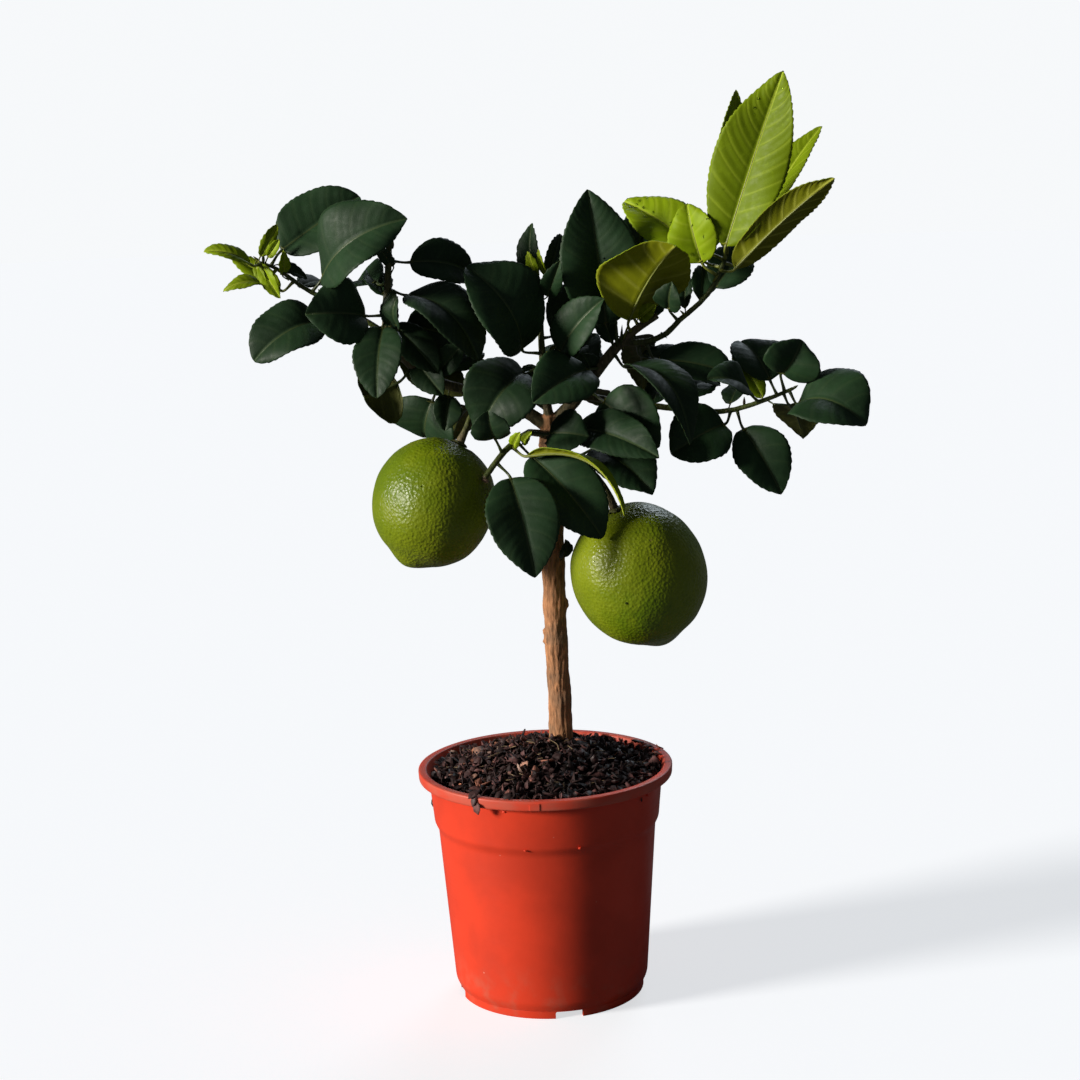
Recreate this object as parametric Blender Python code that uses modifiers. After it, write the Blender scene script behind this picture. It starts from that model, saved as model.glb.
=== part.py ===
"""Potted lemon tree: a young tree with two green lemons, standing in a moulded nursery pot.

Metres, +Z up. The origin is on the pot's axis, at the level that its foot rests on. The crown's
own measures are in crown millimetres, which are true millimetres at the CROWN_SPREAD below.
"""

import math

import bmesh
import bpy
from mathutils import Vector

GAP = 0.0003  # clearance between pieces that touch
LEAF_GAP = 0.0004  # clearance between a leaf stalk and the bark that it sits on

# Pot, outside measures except where named
POT_HEIGHT = 0.1275
RIM_RADIUS = 0.0698
RIM_WIDTH = 0.0045
RIM_DEPTH = 0.0062
RIM_ROUNDING = 0.0010
RIM_OVERHANG = 0.0058  # from the collar's top out to the rim's edge
COLLAR_DEPTH = 0.0290  # from the rim's top down to the collar's foot
COLLAR_TAPER = 0.0022
COLLAR_STEP = 0.0040  # height of the slope between the collar and the body
STEP_INSET = 0.0020
BODY_TAPER = 0.0064
BODY_FOOT_HEIGHT = 0.0080
WALL = 0.0012
FOOT_INSET = 0.0026
FOOT_WIDTH = 0.0028
FOOT_HEIGHT = 0.0042
FLOOR = 0.0016
COLLAR_TOP_RADIUS = RIM_RADIUS - RIM_OVERHANG
COLLAR_FOOT_RADIUS = COLLAR_TOP_RADIUS - COLLAR_TAPER
BODY_TOP_RADIUS = COLLAR_FOOT_RADIUS - STEP_INSET
BODY_FOOT_RADIUS = BODY_TOP_RADIUS - BODY_TAPER
FOOT_RADIUS = BODY_FOOT_RADIUS - FOOT_INSET
NOTCH_WIDTH = 0.0150
NOTCH_ANGLES = (-80, 10, 100, 190)
DRAIN_RADIUS = 0.0045
DRAIN_CIRCLE = 0.65 * FOOT_RADIUS
DRAIN_COUNT = 8
TURN_STEPS = 48

# Potting mix
MIX_BELOW_RIM = 0.0062
MIX_HEAP = 0.0137  # how much higher the mix is round the trunk than at the wall

# Tree
CROWN_SPREAD = 0.345  # leaf tip to leaf tip
CROWN_MM = CROWN_SPREAD / 345
TRUNK_RADIUS = 6.4 * CROWN_MM
TRUNK_X = 9 * CROWN_MM
TRUNK_Y = 15 * CROWN_MM
FORK = (8, 6, 184)
ROOT_DEPTH = 42 * CROWN_MM  # how far the root crown goes down into the mix

# Lemons: diameter and length, and the point that stands out at the blossom end
LEFT_LEMON = (65.0 * CROWN_MM, 71.5 * CROWN_MM)
RIGHT_LEMON = (72.5 * CROWN_MM, 80.0 * CROWN_MM)
LEMON_NIPPLE = 3.0 * CROWN_MM
LEMON_RINGS = 14
LEMON_STEPS = 28

# Leaves
LEAF_THICKNESS = 0.6 * CROWN_MM
MIDRIB_THICKNESS = 1.1 * CROWN_MM
PETIOLE_WIDTH = 1.7 * CROWN_MM
PETIOLE_LENGTH = 9.0 * CROWN_MM
LEAF_FOLD = 0.24  # rise of a leaf's edge above its midrib, as a share of its half width

# Each twig's centre line from where it grows out: x, y, height and radius in crown
# millimetres. Height is counted from the top of the heaped mix.
TWIGS = {
    "left_limb": (
        (8, 6, 177, 3.9), (-10, 4, 190, 3.3), (-34, 2, 199, 2.9), (-56, 0, 207, 2.7),
        (-70, 0, 220, 2.5), (-77, 1, 233, 2.3), (-75, 2, 257, 2.0), (-73.5, 2, 278, 1.8),
    ),
    "far_left_twig": (
        (-77, 1, 231, 1.7), (-95, 0, 243, 1.6), (-115, -1, 254, 1.4), (-125, 0, 261, 1.3),
        (-133, 0, 267, 1.1), (-143, 1, 271, 0.9),
    ),
    "middle_twig": (
        (8, 5, 180, 3.0), (6, 3, 200, 2.2), (5, 3, 220, 1.9), (5, 3, 240, 1.7), (6, 3, 256, 1.5),
    ),
    "right_limb": (
        (9, 6, 178, 4.2), (22, 4, 192, 3.6), (38, 3, 212, 3.1), (48, 2, 223, 2.7),
        (57, 2, 230, 2.2), (67, 2, 236, 1.9),
    ),
    "young_shoot": (
        (48, 2, 222, 1.9), (60, 2, 222, 1.8), (71, 1, 226, 1.7), (78, 0, 233, 1.6),
        (89, -1, 242, 1.5), (97, -2, 252, 1.4), (104, 2, 267, 1.2),
    ),
    "right_twig": (
        (24, 5, 194, 2.2), (60, 12, 187, 1.9), (90, 8, 183, 1.7), (107, 4, 184, 1.5),
        (123, 2, 189, 1.4), (131, 1, 192, 1.2), (138, 0, 195, 1.1),
    ),
    "front_shoot": (
        (8, 6, 172, 2.4), (-3, -14, 178, 1.9), (-16, -31, 171, 1.8), (-27, -38, 158, 1.7),
    ),
    "left_fruit_stalk": (
        (-20, 3, 194, 2.0), (-31, -7, 190, 1.9), (-36, -13, 181, 1.9), (-39.5, -15, 174, 2.6),
    ),
    "right_fruit_stalk": (
        (9, 8, 166, 2.6), (21, -6, 162, 2.1), (32, -16, 153, 2.0), (37.5, -20, 145, 2.0),
        (40.5, -20, 137, 2.7),
    ),
}

# Leaves: name, the twig that each grows on, how far along it, the reach from the twig to the
# leaf's tip, the width, the side that the upper face looks to, and the rise of the arch.
LEAVES = (
    ("far_left_curled", "far_left_twig", 0.97, (-28, -12, 8), 10, (1, -6, 7), 4),
    ("far_left_slim", "far_left_twig", 0.72, (-34, 8, 16), 11, (1, -7, 5), 2),
    ("far_left_ragged", "far_left_twig", 0.86, (-27, -8, -9), 10, (0, -5, 8), 3),
    ("far_left_back", "far_left_twig", 0.90, (46, 20, 33), 38, (-3, -8, 5), 1),
    ("far_left_front", "far_left_twig", 0.57, (52, -22, 37), 42, (-5, -8, 5), 11),
    ("far_left_hanging", "far_left_twig", 0.40, (-41, -20, -25), 33, (-2, -8, 6), 8),
    ("far_left_low", "left_limb", 0.75, (-38, -22, 4), 34, (1, -8, 3), 4),
    ("left_top_arching", "left_limb", 0.94, (42, 14, -10), 25, (2, -8, 5), 7),
    ("left_top_back", "left_limb", 0.86, (-20, 30, -7), 28, (-4, -1, 8), 5),
    ("left_long_arching", "left_limb", 0.84, (45, -22, -36), 31, (5, -8, 6), 13),
    ("left_middle_back", "left_limb", 0.70, (43, 17, -12), 32, (1, -8, 4), 4),
    ("left_middle_front", "left_limb", 0.68, (5, -13, 21), 15, (-7, -6, 1), 3),
    ("left_hanging_front", "left_limb", 0.73, (-4, -34, -36), 25, (-1, -8, 5), 5),
    ("left_under", "left_limb", 0.54, (-24, -12, -12), 34, (-3, 8, -4), 3),
    ("left_low_side", "left_limb", 0.43, (-8, 15, -30), 39, (-2, -8, 4), 4),
    ("left_low_back", "left_limb", 0.42, (8, 32, 12), 32, (0, -8, 4), 4),
    ("left_inner_back", "left_limb", 0.30, (-14, 26, -28), 25, (0, 6, 6), 4),
    ("middle_broad", "middle_twig", 0.50, (-36, -14, 48), 44, (4, -8, 5), 11),
    ("middle_upright", "middle_twig", 0.90, (-3, 16, 37), 14, (-6, -8, 2), 3),
    ("middle_front", "middle_twig", 0.47, (31, -21, 32), 25, (-5, -8, 4), 4),
    ("middle_back", "middle_twig", 0.60, (24, 26, 26), 23, (2, -5, 7), 4),
    ("middle_hanging", "middle_twig", 0.40, (-33, -24, -31), 38, (-1, -9, 4), 14),
    ("middle_low_back", "middle_twig", 0.20, (27, 26, 29), 25, (0, -4, 8), 4),
    ("right_upright", "right_limb", 0.70, (-13, 2, 79), 40, (1, -9, 1), 5),
    ("right_upright_back", "right_limb", 0.86, (4, 36, 58), 29, (3, -7, 4), 5),
    ("right_veined", "right_limb", 0.80, (23, -30, 46), 49, (-5, 10, 2), 4),
    ("right_inner_front", "right_limb", 0.48, (-34, -38, -12), 31, (2, -8, 7), 5),
    ("right_low_front", "right_limb", 0.34, (35, -22, -28), 34, (-2, -8, 3), 6),
    ("right_hooked", "right_limb", 0.62, (36, -42, -42), 27, (5, -7, 6), 16),
    ("right_low_back", "right_limb", 0.80, (6, 32, -34), 22, (2, 8, 5), 4),
    ("right_lowest", "right_limb", 0.10, (47, -42, -15), 26, (-2, -7, 7), 7),
    ("shoot_low_back", "young_shoot", 0.10, (46, 26, -26), 22, (0, -6, 8), 4),
    ("shoot_low_front", "young_shoot", 0.16, (48, -4, -18), 24, (1, -7, 7), 4),
    ("shoot_glossy", "young_shoot", 0.43, (-3, -15, 21), 15, (-3, -8, 2), 2),
    ("shoot_side_back", "young_shoot", 0.72, (22, 28, 20), 23, (2, -6, 6), 3),
    ("shoot_olive", "young_shoot", 0.88, (55, -32, 48), 21, (-4, 10, 3), 3),
    ("shoot_upright", "young_shoot", 0.84, (-14, 4, 37), 25, (-3, -8, 2), 3),
    ("shoot_left", "young_shoot", 0.90, (-48, 30, 34), 30, (-1, -6, 7), 6),
    ("shoot_mid_back", "young_shoot", 0.94, (55, 34, 69), 22, (-4, -4, 6), 4),
    ("shoot_top_back", "young_shoot", 0.96, (12, 36, 87), 19, (4, -7, 3), 4),
    ("shoot_top", "young_shoot", 0.97, (31, -4, 95), 38, (-3, -9, 1), 2),
    ("twig_back_high", "right_twig", 0.46, (18, 24, 9), 23, (0, -4, 8), 4),
    ("twig_left_hanging", "right_twig", 0.70, (-33, -16, -19), 33, (1, -8, 5), 5),
    ("twig_hanging", "right_twig", 0.73, (21, -18, -42), 29, (1, -8, 3), 4),
    ("twig_dished", "right_twig", 0.83, (-28, -20, 15), 22, (2, -6, 8), 5),
    ("twig_folded", "right_twig", 0.96, (9, -6, 27), 30, (3, -8, 4), 7),
    ("twig_back", "right_twig", 0.92, (-16, 30, 25), 29, (2, -7, 5), 4),
    ("twig_end", "right_twig", 0.98, (36, -32, -14), 44, (3, -8, 6), 10),
    ("twig_end_under", "right_twig", 0.95, (13, 26, -28), 25, (2, 7, 6), 4),
    ("front_yellow", "front_shoot", 0.64, (56, -36, -31), 14, (3, 2, 9), 14),
    ("front_face", "front_shoot", 0.84, (17, -30, -54), 36, (1, -9, 4), 6),
    ("front_right_low", "front_shoot", 0.56, (42, -19, -48), 34, (2, -9, 4), 7),
    ("front_small_right", "front_shoot", 0.36, (29, -14, -1), 24, (1, -9, 5), 3),
    ("front_small_up", "front_shoot", 0.74, (-6, -12, 23), 20, (-2, -9, 3), 3),
    ("stalk_right", "right_fruit_stalk", 0.36, (37, -28, -17), 32, (1, -7, 7), 6),
)


YOUNG_LEAVES = (
    "far_left_curled", "far_left_slim", "far_left_ragged", "right_veined", "front_yellow",
    "shoot_olive", "shoot_upright", "shoot_left", "shoot_mid_back", "shoot_top_back", "shoot_top",
)


def colour_material(name, colour, roughness):
    material = bpy.data.materials.new(name)
    material.use_nodes = True
    shader = material.node_tree.nodes["Principled BSDF"]
    shader.inputs["Base Color"].default_value = (*colour, 1.0)
    shader.inputs["Roughness"].default_value = roughness
    shader.inputs["Metallic"].default_value = 0.0
    return material


def clear_scene():
    for obj in list(bpy.data.objects):
        bpy.data.objects.remove(obj, do_unlink=True)


def new_collection(name):
    collection = bpy.data.collections.new(name)
    bpy.context.scene.collection.children.link(collection)
    return collection


def new_object(name, mesh, collection, material=None):
    obj = bpy.data.objects.new(name, mesh)
    collection.objects.link(obj)
    if material is not None:
        mesh.materials.append(material)
    return obj


def make_helper(obj):
    obj.hide_render = True
    obj.display_type = "WIRE"


def add_boolean(obj, helper, operation):
    modifier = obj.modifiers.new(f"{operation.lower()} {helper.name}", "BOOLEAN")
    modifier.operation = operation
    modifier.solver = "EXACT"
    modifier.object = helper


def turned(name, profile, collection, material, steps):
    """A solid turned round Z from a profile of (radius, height) that runs down its outer side."""
    mesh = bpy.data.meshes.new(name)
    points = [(radius, 0, height) for radius, height in profile]
    mesh.from_pydata(points, [(i, i + 1) for i in range(len(points) - 1)], [])
    obj = new_object(name, mesh, collection, material)
    screw = obj.modifiers.new("turn", "SCREW")
    screw.steps = steps
    screw.render_steps = steps
    screw.use_merge_vertices = True
    screw.merge_threshold = 0.00005
    screw.use_smooth_shade = True
    return obj


# ---------------------------------------------------------------- pot and potting mix


def inner_wall():
    """The pot's inner side from its floor up, as (radius, height)."""
    collar_foot = POT_HEIGHT - COLLAR_DEPTH
    floor_top = FOOT_HEIGHT + FLOOR
    return [
        (BODY_FOOT_RADIUS - 2.5 * WALL, floor_top),
        (BODY_FOOT_RADIUS - WALL, floor_top + 2.5 * WALL),
        (BODY_TOP_RADIUS - WALL, collar_foot - COLLAR_STEP),
        (COLLAR_FOOT_RADIUS - WALL, collar_foot),
        (COLLAR_TOP_RADIUS - WALL, POT_HEIGHT - RIM_DEPTH),
    ]


def make_pot(collection, helpers):
    collar_foot = POT_HEIGHT - COLLAR_DEPTH
    inside = inner_wall()
    outside = [
        (RIM_RADIUS - RIM_WIDTH, POT_HEIGHT - RIM_ROUNDING / 2),
        (RIM_RADIUS - RIM_WIDTH + RIM_ROUNDING, POT_HEIGHT),
        (RIM_RADIUS - RIM_ROUNDING, POT_HEIGHT),
        (RIM_RADIUS, POT_HEIGHT - RIM_ROUNDING),
        (RIM_RADIUS - 0.4 * RIM_ROUNDING, POT_HEIGHT - RIM_DEPTH + 1.8 * RIM_ROUNDING),
        (RIM_RADIUS - 2.0 * RIM_ROUNDING, POT_HEIGHT - RIM_DEPTH + 0.3 * RIM_ROUNDING),
        (COLLAR_TOP_RADIUS, POT_HEIGHT - RIM_DEPTH),
        (COLLAR_FOOT_RADIUS, collar_foot),
        (BODY_TOP_RADIUS, collar_foot - COLLAR_STEP),
        (BODY_FOOT_RADIUS, BODY_FOOT_HEIGHT),
        (FOOT_RADIUS + 0.3 * FOOT_INSET, FOOT_HEIGHT),
        (FOOT_RADIUS, FOOT_HEIGHT - 0.1 * FOOT_INSET),
        (FOOT_RADIUS, 0),
        (FOOT_RADIUS - FOOT_WIDTH, 0),
        (FOOT_RADIUS - FOOT_WIDTH, FOOT_HEIGHT),
        (0, FOOT_HEIGHT),
    ]
    profile = [(0, FOOT_HEIGHT + FLOOR)] + inside + outside
    plastic = colour_material("terracotta_plastic", (0.62, 0.06, 0.03), 0.45)
    pot = turned("pot", profile, collection, plastic, TURN_STEPS)
    for angle in NOTCH_ANGLES:
        add_boolean(pot, notch_cutter(math.radians(angle), helpers), "DIFFERENCE")
    add_boolean(pot, drain_cutter(helpers), "DIFFERENCE")


def notch_cutter(angle, helpers):
    """A box across the foot ring, as high as the ring."""
    shape = bmesh.new()
    bmesh.ops.create_cube(shape, size=1)
    bmesh.ops.scale(shape, vec=(4 * FOOT_WIDTH, NOTCH_WIDTH, 1.9 * FOOT_HEIGHT), verts=shape.verts)
    mesh = bpy.data.meshes.new("foot_notch")
    shape.to_mesh(mesh)
    shape.free()
    notch = new_object("foot_notch", mesh, helpers)
    middle = FOOT_RADIUS - FOOT_WIDTH / 2
    notch.location = (middle * math.cos(angle), middle * math.sin(angle), 0)
    notch.rotation_euler = (0, 0, angle)
    make_helper(notch)
    return notch


def drain_cutter(helpers):
    """Round holes through the floor, one in the middle and the rest on a circle."""
    shape = bmesh.new()
    centres = [(0, 0)]
    for i in range(DRAIN_COUNT):
        angle = 2 * math.pi * i / DRAIN_COUNT
        centres.append((DRAIN_CIRCLE * math.cos(angle), DRAIN_CIRCLE * math.sin(angle)))
    for x, y in centres:
        hole = bmesh.ops.create_cone(
            shape,
            cap_ends=True,
            segments=12,
            radius1=DRAIN_RADIUS,
            radius2=DRAIN_RADIUS,
            depth=3 * FLOOR,
        )
        bmesh.ops.translate(shape, vec=(x, y, FOOT_HEIGHT + FLOOR / 2), verts=hole["verts"])
    mesh = bpy.data.meshes.new("drain_holes")
    shape.to_mesh(mesh)
    shape.free()
    cutter = new_object("drain_holes", mesh, helpers)
    make_helper(cutter)
    return cutter


def mix_top():
    """Height of the potting mix where it is heaped round the trunk."""
    return POT_HEIGHT - MIX_BELOW_RIM + MIX_HEAP


def make_potting_mix(collection, helpers):
    edge_height = POT_HEIGHT - MIX_BELOW_RIM
    wall = [(radius - GAP, height) for radius, height in inner_wall()]
    edge_radius = wall[-1][0]
    wall[0] = (wall[0][0], wall[0][1] + GAP)
    heap = [
        (0, mix_top()),
        (0.30 * edge_radius, mix_top() - 0.06 * MIX_HEAP),
        (0.55 * edge_radius, edge_height + 0.52 * MIX_HEAP),
        (0.80 * edge_radius, edge_height + 0.14 * MIX_HEAP),
        (edge_radius, edge_height),
    ]
    below_edge = [point for point in wall if point[1] < edge_height - GAP]
    profile = heap + below_edge[::-1] + [(0, wall[0][1])]
    soil = colour_material("bark_mulch", (0.018, 0.011, 0.009), 0.95)
    mix = turned("potting_mix", profile, collection, soil, TURN_STEPS)
    hollow = tube("root_hollow", trunk_path(GAP), helpers, sides_setting=4)
    make_helper(hollow)
    add_boolean(mix, hollow, "DIFFERENCE")


# ---------------------------------------------------------------- wood


def crown_point(x, y, height):
    """A point of the crown: x and y from the pot's axis, height from the top of the mix."""
    return Vector((x * CROWN_MM, y * CROWN_MM, mix_top() + height * CROWN_MM))


def smooth_path(points, steps=2):
    """Points and radii of a smooth line through the given ones, with steps to each stretch."""
    rows = [Vector(point) for point in points]
    rows = [2 * rows[0] - rows[1]] + rows + [2 * rows[-1] - rows[-2]]
    path = []
    for before, start, end, after in zip(rows, rows[1:], rows[2:], rows[3:]):
        for step in range(steps):
            t = step / steps
            path.append(
                0.5 * (
                    2 * start + (end - before) * t
                    + (2 * before - 5 * start + 4 * end - after) * t * t
                    + (3 * start - before - 3 * end + after) * t ** 3
                )
            )
    path.append(rows[-2])
    return path


def trunk_path(clearance=0.0):
    """The trunk from the bottom of its root crown to the fork, as points with a radius."""
    top = mix_top()
    foot = Vector((TRUNK_X, TRUNK_Y, top))
    rise = crown_point(*FORK) - foot
    # How far towards the fork in X and in Y, how far up, and the share of the trunk's radius
    rows = (
        (0.0, 0.0, -ROOT_DEPTH - clearance, 0.80),
        (0.0, 0.0, -0.6 * ROOT_DEPTH, 1.15),
        (0.0, 0.0, -0.1 * ROOT_DEPTH, 1.12),
        (0.0, 0.0, 0.09 * rise.z, 1.02),
        (0.8, 0.25, 0.30 * rise.z, 1.00),
        (1.2, 0.50, 0.50 * rise.z, 1.02),
        (1.3, 0.80, 0.78 * rise.z, 0.95),
        (1.0, 1.00, rise.z, 0.80),
    )
    path = []
    for across, back, up, share in rows:
        point = foot + Vector((across * rise.x, back * rise.y, up))
        path.append((*point, share * TRUNK_RADIUS + clearance))
    return smooth_path(path)


def twig_path(name):
    points = []
    for x, y, height, radius in TWIGS[name]:
        points.append((*crown_point(x, y, height), radius * CROWN_MM))
    return smooth_path(points)


def tube(name, path, collection, sides_setting=2, material=None):
    """A round solid along a path of points with a radius, made a mesh with closed ends."""
    curve = bpy.data.curves.new(name, "CURVE")
    curve.dimensions = "3D"
    curve.bevel_depth = 1.0
    curve.bevel_resolution = sides_setting
    curve.use_fill_caps = True
    spline = curve.splines.new("POLY")
    spline.points.add(len(path) - 1)
    for point, row in zip(spline.points, path):
        point.co = (row[0], row[1], row[2], 1.0)
        point.radius = row[3]
    drawn = bpy.data.objects.new(name + "_line", curve)
    bpy.context.scene.collection.objects.link(drawn)
    graph = bpy.context.evaluated_depsgraph_get()
    mesh = bpy.data.meshes.new_from_object(drawn.evaluated_get(graph))
    place = drawn.matrix_world.copy()
    bpy.data.objects.remove(drawn, do_unlink=True)
    weld(mesh)
    mesh.materials.clear()
    obj = new_object(name, mesh, collection, material)
    obj.matrix_world = place
    mesh.shade_smooth()
    return obj


def weld(mesh):
    shape = bmesh.new()
    shape.from_mesh(mesh)
    bmesh.ops.remove_doubles(shape, verts=shape.verts, dist=0.00002)
    bmesh.ops.recalc_face_normals(shape, faces=shape.faces)
    shape.to_mesh(mesh)
    shape.free()


def make_wood(collection, helpers):
    bark = colour_material("bark", (0.30, 0.16, 0.08), 0.8)
    wood = tube("tree_wood", trunk_path(), collection, sides_setting=4, material=bark)
    for name in TWIGS:
        twig = tube(name, twig_path(name), helpers)
        make_helper(twig)
        add_boolean(wood, twig, "UNION")


# ---------------------------------------------------------------- lemons


def lemon_profile(diameter, length):
    """Half outline from the stalk end, at height 0, down to the blossom end."""
    points = [(0, 0)]
    for i in range(1, LEMON_RINGS):
        angle = math.pi * i / LEMON_RINGS
        radius = diameter / 2 * math.sin(angle) ** 0.92
        height = -(length - LEMON_NIPPLE) / 2 * (1 - math.cos(angle))
        if angle > math.pi / 2:
            height -= LEMON_NIPPLE * max(0, 1 - (radius / (0.22 * diameter)) ** 2) ** 2
        points.append((radius, height))
    points.append((0, -length))
    return points


def make_lemon(name, stalk, size, collection, material):
    """A lemon that hangs on from the end of its stalk, in the stalk's own direction."""
    path = twig_path(stalk)
    end = Vector(path[-1][:3])
    direction = (end - Vector(path[-2][:3])).normalized()
    lemon = turned(name, lemon_profile(*size), collection, material, LEMON_STEPS)
    lemon.location = end + direction * GAP
    lemon.rotation_mode = "QUATERNION"
    lemon.rotation_quaternion = (-direction).to_track_quat("Z", "Y")


# ---------------------------------------------------------------- leaves


def along_path(path, share):
    """Centre, direction and radius at a share of the path's length."""
    points = [Vector(row[:3]) for row in path]
    lengths = [(b - a).length for a, b in zip(points, points[1:])]
    left = share * sum(lengths)
    for i, length in enumerate(lengths):
        if left <= length or i == len(lengths) - 1:
            t = left / length
            radius = path[i][3] + (path[i + 1][3] - path[i][3]) * t
            return points[i].lerp(points[i + 1], t), (points[i + 1] - points[i]).normalized(), radius
        left -= length


# Blade stations from its base to its tip, with the half width there as a share of the widest
BLADE = ((0.10, 0.42), (0.26, 0.84), (0.46, 1.0), (0.66, 0.88), (0.85, 0.52), (1.0, 0.05))


def leaf_section(centre, forward, up, half_width, rise, edge, middle):
    """Six points round a cross section, from the left edge's top round to its underside."""
    side = forward.cross(up).normalized()
    normal = side.cross(forward).normalized()
    left = centre - side * half_width + normal * rise
    right = centre + side * half_width + normal * rise
    return [left, centre, right, right - normal * edge, centre - normal * middle, left - normal * edge]


def loft(name, sections, collection, material):
    """One closed body through sections of as many points each."""
    shape = bmesh.new()
    rings = [[shape.verts.new(point) for point in section] for section in sections]
    for ring, following in zip(rings, rings[1:]):
        for i in range(len(ring)):
            j = (i + 1) % len(ring)
            shape.faces.new((ring[i], ring[j], following[j], following[i]))
    shape.faces.new(rings[0])
    shape.faces.new(rings[-1])
    bmesh.ops.recalc_face_normals(shape, faces=shape.faces)
    mesh = bpy.data.meshes.new(name)
    shape.to_mesh(mesh)
    shape.free()
    mesh.shade_smooth()
    return new_object(name, mesh, collection, material)


def make_leaf(name, twig, share, reach, width, face, arch, collection, material):
    """A leaf with its stalk: it starts just off the bark, and its blade arches to the tip."""
    centre, along, radius = along_path(twig_path(twig), share)
    reach = Vector(reach) * CROWN_MM
    outward = (reach - along * reach.dot(along)).normalized()
    start = centre + outward * (radius + LEAF_GAP)
    tip = start + reach
    stalk_end = start + (2 * outward + reach.normalized()).normalized() * PETIOLE_LENGTH
    up = Vector(face)
    chord = tip - stalk_end
    up = (up - chord * up.dot(chord) / chord.length_squared).normalized()
    bend = (stalk_end + tip) / 2 + up * 2 * arch * CROWN_MM
    stalk_up = (up - outward * up.dot(outward)).normalized()
    half = PETIOLE_WIDTH / 2
    foot = start + stalk_up * half
    wide = PETIOLE_WIDTH
    sections = [
        leaf_section(foot, outward, stalk_up, half, 0, wide, 1.2 * wide),
        leaf_section(stalk_end, bend - stalk_end, up, 0.9 * half, 0.2 * half, 0.7 * wide, wide),
    ]
    for t, share_of_width in BLADE:
        middle = stalk_end.lerp(bend, t).lerp(bend.lerp(tip, t), t)
        forward = (bend - stalk_end).lerp(tip - bend, t)
        half_width = share_of_width * width / 2 * CROWN_MM
        rise = LEAF_FOLD * half_width
        sections.append(
            leaf_section(middle, forward, up, half_width, rise, LEAF_THICKNESS, MIDRIB_THICKNESS)
        )
    loft(name, sections, collection, material)


def make_leaves(collection):
    mature = colour_material("mature_leaf", (0.018, 0.045, 0.016), 0.4)
    young = colour_material("young_leaf", (0.16, 0.24, 0.01), 0.45)
    for name, twig, share, reach, width, face, arch in LEAVES:
        material = young if name in YOUNG_LEAVES else mature
        make_leaf("leaf_" + name, twig, share, reach, width, face, arch, collection, material)


def main():
    clear_scene()
    tree = new_collection("potted_lemon_tree")
    helpers = new_collection("helpers")
    helpers.hide_render = True
    make_pot(tree, helpers)
    make_potting_mix(tree, helpers)
    make_wood(tree, helpers)
    peel = colour_material("lemon_peel", (0.16, 0.26, 0.01), 0.4)
    make_lemon("lemon_left", "left_fruit_stalk", LEFT_LEMON, tree, peel)
    make_lemon("lemon_right", "right_fruit_stalk", RIGHT_LEMON, tree, peel)
    make_leaves(tree)


main()
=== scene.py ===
"""Looks of the potted lemon tree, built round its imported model.

Laid out as a Blender add-on and run as a script. Metres, +Z up, the pot's axis on Z.
"""

import math
import random
from collections import namedtuple

import bmesh
import bpy
from mathutils import Matrix, Vector, noise
from mathutils.bvhtree import BVHTree


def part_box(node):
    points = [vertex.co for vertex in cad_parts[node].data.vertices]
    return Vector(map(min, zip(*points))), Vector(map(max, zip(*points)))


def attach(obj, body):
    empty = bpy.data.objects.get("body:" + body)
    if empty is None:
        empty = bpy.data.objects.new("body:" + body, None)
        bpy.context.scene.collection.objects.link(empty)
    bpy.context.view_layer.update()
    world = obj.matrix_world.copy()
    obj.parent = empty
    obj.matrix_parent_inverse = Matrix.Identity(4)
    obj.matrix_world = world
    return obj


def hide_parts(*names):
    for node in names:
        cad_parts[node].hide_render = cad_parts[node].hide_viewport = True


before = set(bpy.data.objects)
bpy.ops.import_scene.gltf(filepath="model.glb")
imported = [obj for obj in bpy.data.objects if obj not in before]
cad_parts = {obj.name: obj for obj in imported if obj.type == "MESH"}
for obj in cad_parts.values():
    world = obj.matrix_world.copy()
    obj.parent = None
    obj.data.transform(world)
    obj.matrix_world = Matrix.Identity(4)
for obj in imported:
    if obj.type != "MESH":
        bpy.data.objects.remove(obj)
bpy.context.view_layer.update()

bl_info = {
    "name": "Potted Lemon Tree",
    "version": (1, 0, 0),
    "blender": (4, 5, 0),
    "location": "View3D > Sidebar > Lemon Tree",
    "description": "Models the looks of a young lemon tree in a nursery pot",
    "category": "Object",
}

POT_LOW, POT_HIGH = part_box("pot")
MIX_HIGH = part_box("potting_mix")[1]
MM = 0.001
UP = Vector((0, 0, 1))

YOUNG = (
    "far_left_curled", "far_left_slim", "far_left_ragged", "right_veined", "front_yellow",
    "shoot_olive", "shoot_upright", "shoot_left", "shoot_mid_back", "shoot_top_back", "shoot_top",
)
# Leaves that lie flatter than the rest, or arch the other way across: share of the usual fold.
FOLDS = {"shoot_top": -0.15, "shoot_left": 0.2, "right_upright": 0.25, "shoot_olive": 0.5}


# ---------------------------------------------------------------- settings


class LEMON_PG_pot(bpy.types.PropertyGroup):
    """Sizes and colours of the nursery pot."""

    plastic: bpy.props.FloatVectorProperty(
        name="Plastic", description="Colour of the moulded plastic",
        subtype="COLOR", default=(0.80, 0.060, 0.023), min=0, max=1,
    )
    worn_plastic: bpy.props.FloatVectorProperty(
        name="Worn plastic", description="Colour of the rim where dust and rubbing dull it",
        subtype="COLOR", default=(0.62, 0.105, 0.064), min=0, max=1,
    )
    rounding: bpy.props.FloatProperty(
        name="Edge rounding", description="Radius of the pot's moulded edges",
        default=0.0011, min=0.0002, unit="LENGTH",
    )


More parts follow.
